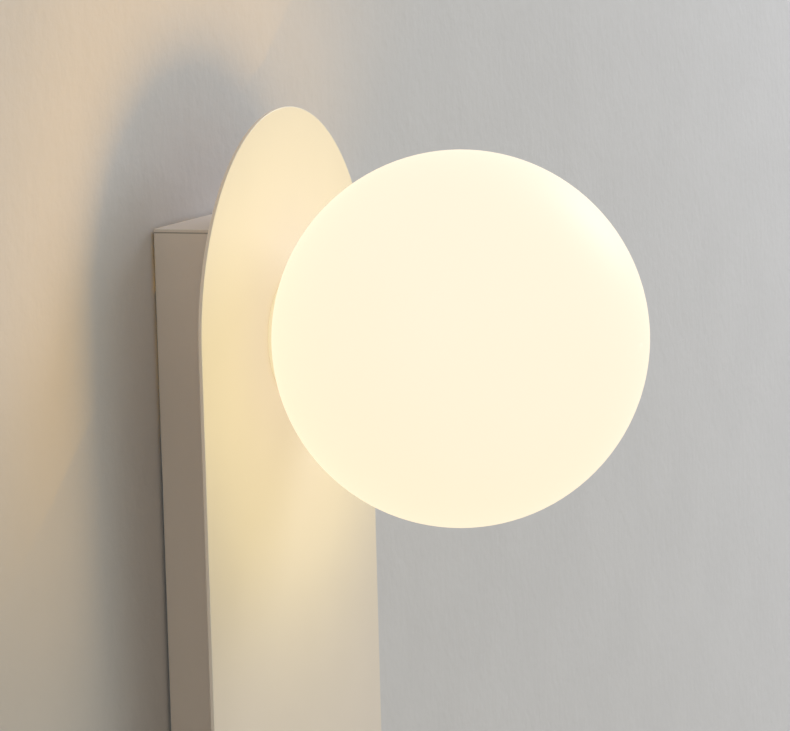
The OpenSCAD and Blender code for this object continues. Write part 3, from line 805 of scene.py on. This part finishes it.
def hex_nut():
    """Chamfered M4 nut that stands on Z = 0."""
    flat = 0.98 * NUT_FLATS / 2
    slope = math.tan(math.radians(30))
    lead = 0.25 * MM
    sixth = FULL_TURN / 6
    body = bmesh.new()
    rings = [[] for row in range(8)]
    for step in range(NUT_STEPS):
        turn = FULL_TURN * step / NUT_STEPS
        reach = NUT_FLATS / 2 / math.cos((turn + sixth / 2) % sixth - sixth / 2)
        fall = min(0.3 * NUT_H, (reach - flat) * slope)
        rows = ((NUT_BORE_R + lead, 0), (flat, 0), (reach, fall), (reach, NUT_H - fall),
                (flat, NUT_H), (NUT_BORE_R + lead, NUT_H), (NUT_BORE_R, NUT_H - lead),
                (NUT_BORE_R, lead))
        for ring, (radius, up) in zip(rings, rows):
            ring.append(body.verts.new(on_circle(radius, turn, up)))
    for low, high in zip(rings, rings[1:] + rings[:1]):
        bridge(body, low, high)
    return mesh_of(body)


def flat_washer():
    """M4 washer on Z = 0 with rounded outer edges."""
    fillet = 0.3 * WASHER_T
    profile = rounded_rim(WASHER_R, 0, fillet, -1) + rounded_rim(WASHER_R, WASHER_T, fillet, 1)
    profile += [(NUT_BORE_R + CHAMFER, WASHER_T), (NUT_BORE_R, WASHER_T - CHAMFER),
                (NUT_BORE_R, CHAMFER), (NUT_BORE_R + CHAMFER, 0)]
    return lathe(profile, WASHER_STEPS, closed=True)


def panel_stud():
    """Threaded weld stud whose foot is at Z = 0 and whose tip is below it."""
    pitch = settings()[0].m4_pitch
    start = STUD_TIP - STUD_LEN
    profile = [(0, -STUD_LEN), (M4_R - STUD_TIP, -STUD_LEN)]
    profile += shank_rows(M4_R, start, -SHEET, pitch) + [(M4_R, 0), (0, 0)]
    thread = (start, -SHEET - 0.5 * MM, pitch, THREAD_DEPTH * M4_R)
    return lathe(profile, SCREW_STEPS, thread)


def new_tree(name, inputs):
    """Geometry tree whose named inputs have a default number or a kind of data."""
    tree = bpy.data.node_groups.new(name, "GeometryNodeTree")
    for title, given in inputs.items():
        kind = given if isinstance(given, str) else type(given).__name__.capitalize()
        socket = tree.interface.new_socket(
            name=title, in_out="INPUT", socket_type=f"NodeSocket{kind}")
        if kind != given:
            socket.default_value = given
    tree.interface.new_socket(
        name="Geometry", in_out="OUTPUT", socket_type="NodeSocketGeometry")
    graph = Graph(tree)
    return graph, graph.add("NodeGroupInput")


def close_tree(graph, geometry, material):
    """Ends a tree in Realize Instances and Set Material."""
    real = graph.add("GeometryNodeRealizeInstances", Geometry=geometry)
    last = graph.add("GeometryNodeSetMaterial", Geometry=real, Material=material)
    graph.add("NodeGroupOutput", Geometry=last)
    return graph.tree


def grown(tree, base, values):
    """Mesh that a geometry tree makes from a base with the given input values."""
    piece = add_object("grown", base)
    grow = piece.modifiers.new("grow", "NODES")
    grow.node_group = tree
    sockets = {item.name: item.identifier for item in tree.interface.items_tree
               if item.in_out == "INPUT"}
    for name, value in values.items():
        grow[sockets[name]] = value
    return settled(piece)


def points_mesh(points, edges=()):
    """Mesh of points and the edges between them."""
    mesh = bpy.data.meshes.new("points")
    mesh.from_pydata(points, list(edges), [])
    return mesh


@cache
def fastener_tree():
    """Tree that sets one fastener on every point of a mesh, each turned by chance."""
    graph, given = new_tree("fasteners on spots", {
        "Geometry": "Geometry", "Fastener": "Object", "Tip over": 0.0, "Most turn": 3.1,
        "Turn seed": 4, "Material": "Material"})
    shape = graph.add("GeometryNodeObjectInfo", {"transform_space": "ORIGINAL"},
                      output="Geometry", Object=given.out("Fastener"))
    spin = graph.add("FunctionNodeRandomValue", {"data_type": "FLOAT"}, {
        2: 0.0, 3: given.out("Most turn")}, output=1, Seed=given.out("Turn seed"))
    spun = graph.add("FunctionNodeEulerToRotation", numbered={0: graph.vector(Z=spin)})
    facing = graph.add("FunctionNodeEulerToRotation", numbered={
        0: graph.vector(X=given.out("Tip over"))})
    turn = graph.add("FunctionNodeRotateRotation", {"rotation_space": "GLOBAL"}, {
        0: spun, 1: facing})
    points = graph.add("GeometryNodeInstanceOnPoints", Points=given.out("Geometry"),
                       Instance=shape, Rotation=turn)
    upright = graph.add("GeometryNodeTransform", Geometry=points,
                        Rotation=(QUARTER_TURN, 0.0, 0.0))
    return close_tree(graph, upright, given.out("Material"))


def show_fasteners(name, node, fastener, spots, tip_over=0.0, most_turn=3.1):
    """Shows the fastener on every spot: x across, y up the wall and z out of it."""
    pattern = add_object("pattern", fastener)
    mesh = grown(fastener_tree(), points_mesh(spots), {
        "Fastener": pattern, "Tip over": tip_over, "Most turn": most_turn,
        "Turn seed": settings()[0].turn_seed, "Material": plated()})
    drop(pattern)
    present(name, mesh, "housing", plated(), node)


@cache
def panel_tree():
    """Tree of the face panel: a plate with two half-round ends and a round neck hole."""
    graph, given = new_tree("face panel", {
        "Width": 175 * MM, "Length": 600 * MM, "Thickness": SHEET,
        "Hole radius": NECK_HOLE_R, "Hole height": 208 * MM, "Out": 37.4 * MM,
        "Corners": 320, "Material": "Material"})
    width, corners = given.out("Width"), given.out("Corners")

    def ring(count, radius, turn, offset):
        disc = graph.add("GeometryNodeMeshCircle", Vertices=count, Radius=radius)
        turned = graph.add("GeometryNodeTransform", Geometry=disc,
                           Rotation=graph.vector(Z=turn))
        moved = graph.add("GeometryNodeSetPosition", Geometry=turned,
                          Offset=graph.vector(Y=offset))
        return graph.add("GeometryNodeMeshToCurve", Mesh=moved)

    height = graph.axis(graph.add("GeometryNodeInputPosition"), "Y")
    half_step = (corners * 1.0).math("POWER", -1.0) * math.pi
    ends = height.math("SIGN") * ((given.out("Length") - width) * 0.5)
    outline = ring(corners, width * 0.5, half_step, ends)
    hole = ring(HOLE_STEPS, given.out("Hole radius"), 0.0, given.out("Hole height"))
    flat = graph.add("GeometryNodeFillCurve", {"mode": "TRIANGLES"},
                     Curve=graph.joined(outline, hole))
    thick = graph.add("GeometryNodeExtrudeMesh", {"mode": "FACES"}, Mesh=flat,
                      Offset=(0.0, 0.0, 1.0), Offset_Scale=given.out("Thickness"),
                      Individual=False)
    under = graph.add("GeometryNodeFlipFaces", Mesh=flat)
    closed = graph.add("GeometryNodeMergeByDistance", Geometry=graph.joined(thick, under),
                       Distance=MERGE)
    standing = graph.add("GeometryNodeTransform", Geometry=closed,
                         Rotation=(QUARTER_TURN, 0.0, 0.0),
                         Translation=graph.vector(Y=given.out("Out") * -1.0))
    return close_tree(graph, standing, given.out("Material"))


@cache
def lead_tree():
    """Tree of a lead along a path: insulation with bared copper at both ends."""
    graph, given = new_tree("lead", {
        "Geometry": "Geometry", "Radius": LEAD_R, "Core radius": CORE_R,
        "Bare at start": 2 * MM, "Bare at end": 5 * MM, "Sides": LEAD_STEPS,
        "Material": "Material"})
    path = graph.add("GeometryNodeMeshToCurve", Mesh=given.out("Geometry"))
    run = graph.add("GeometryNodeSplineParameter", output="Length")

    def stored(geometry, name, kind, value):
        options = {"data_type": kind, "domain": "POINT"}
        return graph.add("GeometryNodeStoreNamedAttribute", options, Geometry=geometry,
                         Name=name, Value=value)

    def tube(rail, radius, bare):
        factor = graph.add("GeometryNodeSplineParameter", output="Factor") * FULL_TURN
        around = graph.vector(X=factor.math("COSINE"), Y=factor.math("SINE"))
        section = graph.add("GeometryNodeCurvePrimitiveCircle", Resolution=given.out("Sides"),
                            Radius=radius)
        skin = graph.add("GeometryNodeCurveToMesh", Curve=stored(rail, "along", "FLOAT", run),
                         Profile_Curve=stored(section, "around", "FLOAT_VECTOR", around),
                         Fill_Caps=True)
        return stored(skin, "bare", "FLOAT", bare)

    full = graph.add("GeometryNodeCurveLength", Curve=path)
    cover = graph.add("GeometryNodeTrimCurve", {"mode": "LENGTH"}, {
        4: given.out("Bare at start"), 5: full - given.out("Bare at end")}, Curve=path)
    both = graph.joined(tube(cover, given.out("Radius"), 0.0),
                        tube(path, given.out("Core radius"), 1.0))
    return close_tree(graph, both, given.out("Material"))


def smooth_path(route):
    """Points on the curve that the CAD source lays through a route, in metres."""
    last = len(route) - 1
    points = []
    for start in range(last):
        a, b, c, d = [Vector(route[min(max(k, 0), last)]) for k in range(start - 1, start + 3)]
        for step in range(ROUTE_STEPS):
            t = step / ROUTE_STEPS
            points.append(0.5 * (2 * b + (c - a) * t + (2 * a - 5 * b + 4 * c - d) * t * t
                                 + (3 * b - a - 3 * c + d) * t * t * t))
    points.append(Vector(route[last]))
    return [Vector((x, -out, up)) * MM for x, up, out in points]


class PieceOperator:
    """What every piece operator shares: it makes its pieces or raises an error."""

    bl_options = {"REGISTER", "UNDO"}

    def execute(self, context):
        self.build(settings()[0])
        return {"FINISHED"}


class SCONCE_OT_face_panel(PieceOperator, bpy.types.Operator):
    """Coated face panel with rounded edges"""

    bl_idname = "sconce.face_panel"
    bl_label = "Face panel"

    def build(self, sizes):
        plate = grown(panel_tree(), bpy.data.meshes.new("plate"), {
            "Width": PANEL_W, "Length": PANEL_LEN, "Thickness": PANEL_T,
            "Hole radius": NECK_HOLE_R, "Hole height": GLOBE_HEIGHT, "Out": WEB_FRONT,
            "Corners": sizes.panel_steps, "Material": powder_coat()})
        present("coated_face_panel", rounded_off(plate, sizes.painted_edge, 4), "housing",
                powder_coat(), "face_panel")


class SCONCE_OT_housing(PieceOperator, bpy.types.Operator):
    """Folded housing and its two welded end plates"""

    bl_idname = "sconce.housing"
    bl_label = "Housing"

    def build(self, sizes):
        for name, node in (("coated_channel", "housing_channel"),
                           ("coated_top_end", "top_end_plate"),
                           ("coated_bottom_end", "bottom_end_plate")):
            soften(name, node, "housing", powder_coat(), sizes.fold_edge, 3)


class SCONCE_OT_back_plate(PieceOperator, bpy.types.Operator):
    """Galvanised back plate and the grommet of its cable inlet"""

    bl_idname = "sconce.back_plate"
    bl_label = "Back plate"

    def build(self, sizes):
        soften("galvanised_back_plate", "back_plate", "back_plate", galvanised(),
               sizes.cut_edge)
        rubber = soft("grommet rubber", tone("rubber"), tone("rubber", 1.25), 0.4 * MM, 0.55)
        soften("rubber_grommet", "supply_grommet", "back_plate", rubber,
               2 * sizes.cut_edge, 3)


class SCONCE_OT_spring_clips(PieceOperator, bpy.types.Operator):
    """Leaf clips and the rivets that hold them"""

    bl_idname = "sconce.spring_clips"
    bl_label = "Spring clips"

    def build(self, sizes):
        soften("leaf_clips", "spring_clips", "back_plate", spring_steel(),
               0.5 * sizes.cut_edge)
        soften("domed_rivets", "clip_rivets", "back_plate", plated(),
               sizes.cut_edge)


class SCONCE_OT_lock_screw(PieceOperator, bpy.types.Operator):
    """Lock screw under the housing and its washer"""

    bl_idname = "sconce.lock_screw"
    bl_label = "Lock screw"

    def build(self, sizes):
        low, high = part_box("lock_screw")
        seat = low[2] + M4_HEAD_H
        fastener = screw(M4_R, high[2] - seat, M4_HEAD_R, M4_HEAD_H, sizes.m4_pitch)
        place = Matrix.Translation((0, (low[1] + high[1]) / 2, seat))
        fastener.transform(place @ Matrix.Rotation(math.pi, 4, "X"))
        present("pan_head_lock_screw", fastener, "lock_screw", plated(),
                "lock_screw")
        soften("lock_screw_washer", "lock_washer", "lock_washer", plated(),
               sizes.cut_edge)


class SCONCE_OT_globe(PieceOperator, bpy.types.Operator):
    """Lit opal globe and the gasket behind it"""

    bl_idname = "sconce.globe"
    bl_label = "Globe"

    def build(self, sizes):
        dress("globe", opal_glass())
        # The gasket's glow of 0.2 is painted light from the globe
        silicone = soft("gasket silicone", tone("silicone"), tone("silicone", 0.9), 0.3 * MM,
                        0.42, 0.2)
        soften("silicone_gasket", "globe_gasket", "gasket", silicone,
               0.5 * sizes.cut_edge)


class SCONCE_OT_shade_cup(PieceOperator, bpy.types.Operator):
    """Threaded cup behind the panel and its screws"""

    bl_idname = "sconce.shade_cup"
    bl_label = "Shade cup"

    def build(self, sizes):
        soften("spun_shade_cup", "shade_cup", "housing", galvanised(),
               sizes.cut_edge)
        spots = []
        for k in range(3):
            x, up, out = on_circle(CUP_RING_R, math.radians(90 + 120 * k), WEB_BACK - SHEET)
            spots.append((x, GLOBE_HEIGHT + up, out))
        show_fasteners("pan_head_cup_screws", "cup_screws", small_screw(CUP_SCREW_LEN), spots,
                       math.pi)


class SCONCE_OT_panel_fasteners(PieceOperator, bpy.types.Operator):
    """Weld studs of the panel with their washers and nuts"""

    bl_idname = "sconce.panel_fasteners"
    bl_label = "Panel fasteners"

    def build(self, sizes):
        low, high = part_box("panel_studs")
        rows = (low[2] + M4_R, (low[2] + high[2]) / 2, high[2] - M4_R)
        sides = (low[0] + M4_R, high[0] - M4_R)
        under = WEB_BACK - WASHER_T
        for name, node, mesh, out in (
                ("threaded_panel_studs", "panel_studs", panel_stud(), WEB_FRONT),
                ("flat_panel_washers", "panel_washers", flat_washer(), under),
                ("hexagon_panel_nuts", "panel_nuts", hex_nut(), under - NUT_H)):
            show_fasteners(name, node, mesh, [(x, up, out) for up in rows for x in sides])


class SCONCE_OT_lampholder(PieceOperator, bpy.types.Operator):
    """Ceramic lampholder with contacts and screws"""

    bl_idname = "sconce.lampholder"
    bl_label = "Lampholder"

    def build(self, sizes):
        soften("ceramic_lampholder", "lampholder", "housing", ceramic(),
               0.6 * sizes.moulded_edge)
        soften("contact_leaves", "lampholder_contacts", "housing", brass(), LEAF_EDGE)
        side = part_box("lampholder_screws")[1][0] - M3_HEAD_R
        spots = [(x, GLOBE_HEIGHT, HOLDER_SEAT) for x in (-side, side)]
        show_fasteners("pan_head_holder_screws", "lampholder_screws",
                       small_screw(HOLDER_SCREW_LEN), spots)


class SCONCE_OT_lamp(PieceOperator, bpy.types.Operator):
    """Plug-in lamp: cap, core, base and pins"""

    bl_idname = "sconce.lamp"
    bl_label = "Lamp"

    def build(self, sizes):
        soften("lamp_base", "bulb_base", "bulb", ceramic(), sizes.moulded_edge)
        soften("lamp_pins", "bulb_pins", "bulb", spring_steel(), sizes.cut_edge)
        soften("lamp_core_chips", "bulb_core", "bulb", phosphor(),
               sizes.moulded_edge)
        dress("bulb_capsule", lamp_cap())


class SCONCE_OT_terminal_block(PieceOperator, bpy.types.Operator):
    """Terminal block with clamps and screws"""

    bl_idname = "sconce.terminal_block"
    bl_label = "Terminal block"

    def build(self, sizes):
        soften("moulded_terminal_block", "terminal_block", "housing",
               moulded(), 0.4 * sizes.moulded_edge)
        soften("brass_clamps", "terminal_clamps", "housing", brass(), CLAMP_EDGE)
        low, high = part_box("terminal_screws")
        grub = slotted_screw(GRUB_R, GRUB_HEAD_R, GRUB_HEAD_H, high[1] - low[1], sizes.m3_pitch)
        spots = [(x, up, -high[1]) for x in (low[0] + GRUB_HEAD_R, 0.0, high[0] - GRUB_HEAD_R)
                 for up in (low[2] + GRUB_HEAD_R, high[2] - GRUB_HEAD_R)]
        show_fasteners("slotted_terminal_screws", "terminal_screws", grub, spots, math.pi)
        low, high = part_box("terminal_fixings")
        side, seat = high[0] - M3_HEAD_R, M3_HEAD_H - high[1]
        spots = [(x, (low[2] + high[2]) / 2, seat) for x in (-side, side)]
        show_fasteners("pan_head_block_screws", "terminal_fixings",
                       small_screw(-low[1] - seat), spots, math.pi)


class SCONCE_OT_earth(PieceOperator, bpy.types.Operator):
    """Earth connections of the housing and the back plate"""

    bl_idname = "sconce.earth"
    bl_label = "Earth connections"

    def build(self, sizes):
        soften("crimped_earth_tag", "earth_tag", "housing", brass(), LEAF_EDGE)
        dress("earth_stud", plated())
        low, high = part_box("earth_nut")
        spot = ((low[0] + high[0]) / 2, (low[2] + high[2]) / 2, -high[1])
        show_fasteners("hexagon_earth_nut", "earth_nut", hex_nut(), [spot], most_turn=0.0)
        for name, node in (("brass_earth_screw", "plate_earth_screw"),
                           ("brass_earth_washer", "plate_earth_washer")):
            soften(name, node, "back_plate", brass(), sizes.cut_edge)


class SCONCE_OT_leads(PieceOperator, bpy.types.Operator):
    """Insulated leads between lampholder, terminals and earth"""

    bl_idname = "sconce.leads"
    bl_label = "Leads"

    def build(self, sizes):
        for kind, slot, route, stripe, bare_start, bare_end in (
                ("live", "brown_lead", LIVE_ROUTE, None, 1.5 * MM, 4.5 * MM),
                ("neutral", "blue_lead", NEUTRAL_ROUTE, None, 1.5 * MM, 4.5 * MM),
                ("earth", "green_lead", EARTH_ROUTE, tone("stripe"), 4.5 * MM, 5 * MM)):
            points = smooth_path(route)
            path = points_mesh(points, zip(range(len(points)), range(1, len(points))))
            skin = insulation(f"{kind} lead insulation", tone(kind), stripe)
            mesh = grown(lead_tree(), path, {
                "Radius": LEAD_R, "Core radius": CORE_R, "Bare at start": bare_start,
                "Bare at end": bare_end, "Sides": LEAD_STEPS, "Material": skin})
            present(f"{kind}_lead", mesh, "housing", skin, f"{kind}_wire")


class SCONCE_OT_stage(PieceOperator, bpy.types.Operator):
    """Pale wall and floor, soft studio light and the camera"""

    bl_idname = "sconce.stage"
    bl_label = "Wall, floor, light and camera"

    def build(self, sizes):
        for make in (wall, floor, world, lamps, camera):
            make(settings()[2])


def rectangle(low, high):
    """The four corners of a flat rectangle, given by two opposite ones."""
    return (low[0], low[1]), (high[0], low[1]), (high[0], high[1]), (low[0], high[1])


def stage_plane(name, paint, surface, corners, opening=None):
    """Flat face of the stage, shown from its front and clear from behind."""
    body = bmesh.new()
    outer = [body.verts.new(point) for point in corners]
    if opening:
        bridge(body, outer, [body.verts.new(point) for point in opening])
    else:
        body.faces.new(outer)
    piece = add_object(name, mesh_of(body))
    clear = paint.add("ShaderNodeBsdfTransparent")
    behind = paint.add("ShaderNodeNewGeometry", output="Backfacing")
    shown = paint.add("ShaderNodeMixShader", numbered={0: behind, 1: surface, 2: clear})
    paint.add("ShaderNodeOutputMaterial", Surface=shown)
    piece.data.materials.append(paint.material)


def floor_height(stage):
    """Height of the floor below the sconce."""
    return CAD_BOX[0][2] - stage.floor_drop


def wall(stage):
    """Plaster wall that is open behind the back plate."""
    reach, top, back, inset = 3.0, 2.2, 0.05 * MM, 3 * MM
    low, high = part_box("back_plate")
    corners = rectangle((-reach, floor_height(stage)), (reach, top))
    opening = rectangle((low[0] + inset, low[2] + inset), (high[0] - inset, high[2] - inset))
    paint = Finish("painted plaster")
    trowel = paint.noise(60 * MM, 3.0)
    pit = paint.noise(7 * MM, 4.0)
    surface = paint.surface(
        Base_Color=paint.mix(trowel.ramp(0.3, 0.7), scaled(stage.wall_colour, 0.975),
                             tuple(stage.wall_colour)),
        Roughness=0.7, Specular_IOR_Level=0.2,
        Normal=paint.bump(trowel * 0.6 + pit * 0.4, 1.5 * MM, 0.55))
    stage_plane("plaster wall", paint, surface, [(x, back, up) for x, up in corners],
                [(x, back, up) for x, up in opening])


def floor(stage):
    """Pale matt floor."""
    reach = 4.5
    paint = Finish("pale floor")
    speck = paint.noise(6 * MM, 3.0)
    surface = paint.surface(
        Base_Color=paint.mix(speck.ramp(0.3, 0.7) * 0.5, tuple(stage.floor_colour),
                             scaled(stage.floor_colour, 0.97)),
        Roughness=0.6, Specular_IOR_Level=0.3)
    stage_plane("pale floor", paint, surface, [
        (x, y, floor_height(stage)) for x, y in rectangle((-reach, -reach), (reach, reach))])


def world(stage):
    """Even light from all round, with a pale backdrop for camera, gloss and glass."""
    sky = bpy.data.worlds.new("soft studio")
    sky.use_nodes = True
    graph = Graph(sky.node_tree)
    graph.tree.nodes.clear()
    light = graph.add("ShaderNodeBackground", Color=tuple(stage.fill_colour),
                      Strength=stage.fill)
    seen = graph.add("ShaderNodeBackground", Color=tuple(stage.backdrop), Strength=1.0)
    ray = graph.add("ShaderNodeLightPath")
    straight = ray.out("Is Camera Ray").math("MAXIMUM", ray.out("Is Glossy Ray"))
    shown = straight.math("MAXIMUM", ray.out("Is Transmission Ray"))
    both = graph.add("ShaderNodeMixShader", numbered={0: shown, 1: light, 2: seen})
    graph.add("ShaderNodeOutputWorld", Surface=both)
    bpy.context.scene.world = sky


def lamp_at(name, kind, radius, tint, power, place, target):
    """Puts a round soft lamp in place, facing the target and unseen by the camera."""
    data = bpy.data.lights.new(name, kind)
    if kind == "AREA":
        data.shape = "DISK"
        data.size = 2 * radius
    else:
        data.shadow_soft_size = radius
    data.energy = power
    data.color = tuple(tint)
    lamp = add_object(name, data)
    lamp.location = place
    lamp.rotation_euler = (Vector(target) - Vector(place)).to_track_quat("-Z", "Y").to_euler()
    lamp.visible_camera = False
    return lamp


def named_set(name, pieces):
    """A collection that only lists objects for the lamps."""
    group = bpy.data.collections.new(name)
    for piece in pieces:
        group.objects.link(bpy.data.objects[piece])
    return group


def lamps(stage):
    """A large soft lamp to the right, and the light of the globe itself.

    The glass lets the globe's light through: only the coated pieces throw its shadow.
    """
    key_r, key_place, key_target = 0.6, (2.0, -0.95, 1.25), (0.0, -0.04, 0.15)
    lamp_at("soft key", "AREA", key_r, stage.key_colour, stage.key, key_place, key_target)
    blockers = named_set("throws shadow", (
        "coated_face_panel", "coated_channel", "coated_top_end", "coated_bottom_end"))
    panel_only = named_set("lit panel", ["coated_face_panel"])
    wall_only = named_set("lit wall", ["plaster wall"])
    centre = Vector((0, -GLOBE_OUT, GLOBE_HEIGHT))
    near_r, near_out = 0.1, 55 * MM
    near = Vector((0, PANEL[0][1] - near_out, GLOBE_HEIGHT))
    inner_r = 0.93 * GLOBE_R
    to_wall, up_left = Vector((0, 1, 0)), Vector((-0.48, 0.50, 0.66))
    for name, kind, radius, tint, power, falls_on, place, aim in (
            ("globe light", "POINT", inner_r, stage.glow_colour, stage.glow_power, None,
             centre, to_wall),
            ("globe light on the wall", "AREA", inner_r, stage.wall_glow, stage.wall_power,
             wall_only, centre, up_left),
            ("globe light on the panel", "AREA", near_r, stage.panel_glow, stage.panel_power,
             panel_only, near, to_wall)):
        lamp = lamp_at(name, kind, radius, tint, power, place, place + aim)
        lamp.visible_glossy = False
        lamp.light_linking.blocker_collection = blockers
        if falls_on:
            lamp.light_linking.receiver_collection = falls_on
        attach(lamp, "globe")


def camera(stage):
    """Camera at the photograph's viewing angle, aimed past the panel's round end."""
    seen_x, seen_y = [spot - size / 2 for spot, size in zip(ROUND_END, PICTURE)]
    turn, lift, roll = stage.azimuth, stage.elevation, stage.roll
    back = Vector((math.sin(turn) * math.cos(lift), -math.cos(turn) * math.cos(lift),
                   math.sin(lift)))
    right = Vector((math.cos(turn), math.sin(turn), 0))
    up = back.cross(right)
    side = math.cos(roll) * right + math.sin(roll) * up
    rise = math.cos(roll) * up - math.sin(roll) * right
    aim = Vector((0, PANEL[0][1], PANEL[1][2] - PANEL_W / 2))
    scale = stage.distance / (stage.lens * PICTURE[0] / SENSOR)
    data = bpy.data.cameras.new("camera")
    data.sensor_width = SENSOR
    data.lens = stage.lens
    data.clip_start = 0.01
    piece = add_object("camera", data)
    place = aim - seen_x * scale * side + seen_y * scale * rise + stage.distance * back
    axes = Matrix((side, rise, back)).transposed().to_4x4()
    piece.matrix_world = Matrix.Translation(place) @ axes
    bpy.context.scene.camera = piece


PIECES = (
    SCONCE_OT_face_panel, SCONCE_OT_housing, SCONCE_OT_back_plate, SCONCE_OT_spring_clips,
    SCONCE_OT_lock_screw, SCONCE_OT_globe, SCONCE_OT_shade_cup, SCONCE_OT_panel_fasteners,
    SCONCE_OT_lampholder, SCONCE_OT_lamp, SCONCE_OT_terminal_block, SCONCE_OT_earth,
    SCONCE_OT_leads, SCONCE_OT_stage)


class SCONCE_PT_pieces(bpy.types.Panel):
    """Lists the pieces of the sconce with their sizes and colours"""

    bl_idname = "SCONCE_PT_pieces"
    bl_label = "Wall sconce"
    bl_space_type = "VIEW_3D"
    bl_region_type = "UI"
    bl_category = "Wall Sconce"

    def draw(self, context):
        for piece in PIECES:
            self.layout.operator(piece.bl_idname, text=piece.bl_label)
        for group in settings():
            box = self.layout.box()
            for name in group.bl_rna.properties.keys():
                if name not in ("name", "rna_type"):
                    box.prop(group, name)


GROUPS = (("sconce_sizes", SconceSizes), ("sconce_colours", SconceColours),
          ("sconce_stage", SconceStage))


def register():
    for name, group in GROUPS:
        bpy.utils.register_class(group)
        setattr(bpy.types.Scene, name, PointerProperty(type=group))
    for piece in (*PIECES, SCONCE_PT_pieces):
        bpy.utils.register_class(piece)


def unregister():
    for piece in reversed((*PIECES, SCONCE_PT_pieces)):
        bpy.utils.unregister_class(piece)
    for name, group in reversed(GROUPS):
        delattr(bpy.types.Scene, name)
        bpy.utils.unregister_class(group)


def main():
    register()
    bpy.context.scene.view_settings.view_transform = "Standard"
    for piece in PIECES:
        group, name = piece.bl_idname.split(".")
        getattr(getattr(bpy.ops, group), name)()


if __name__ == "__main__":
    main()
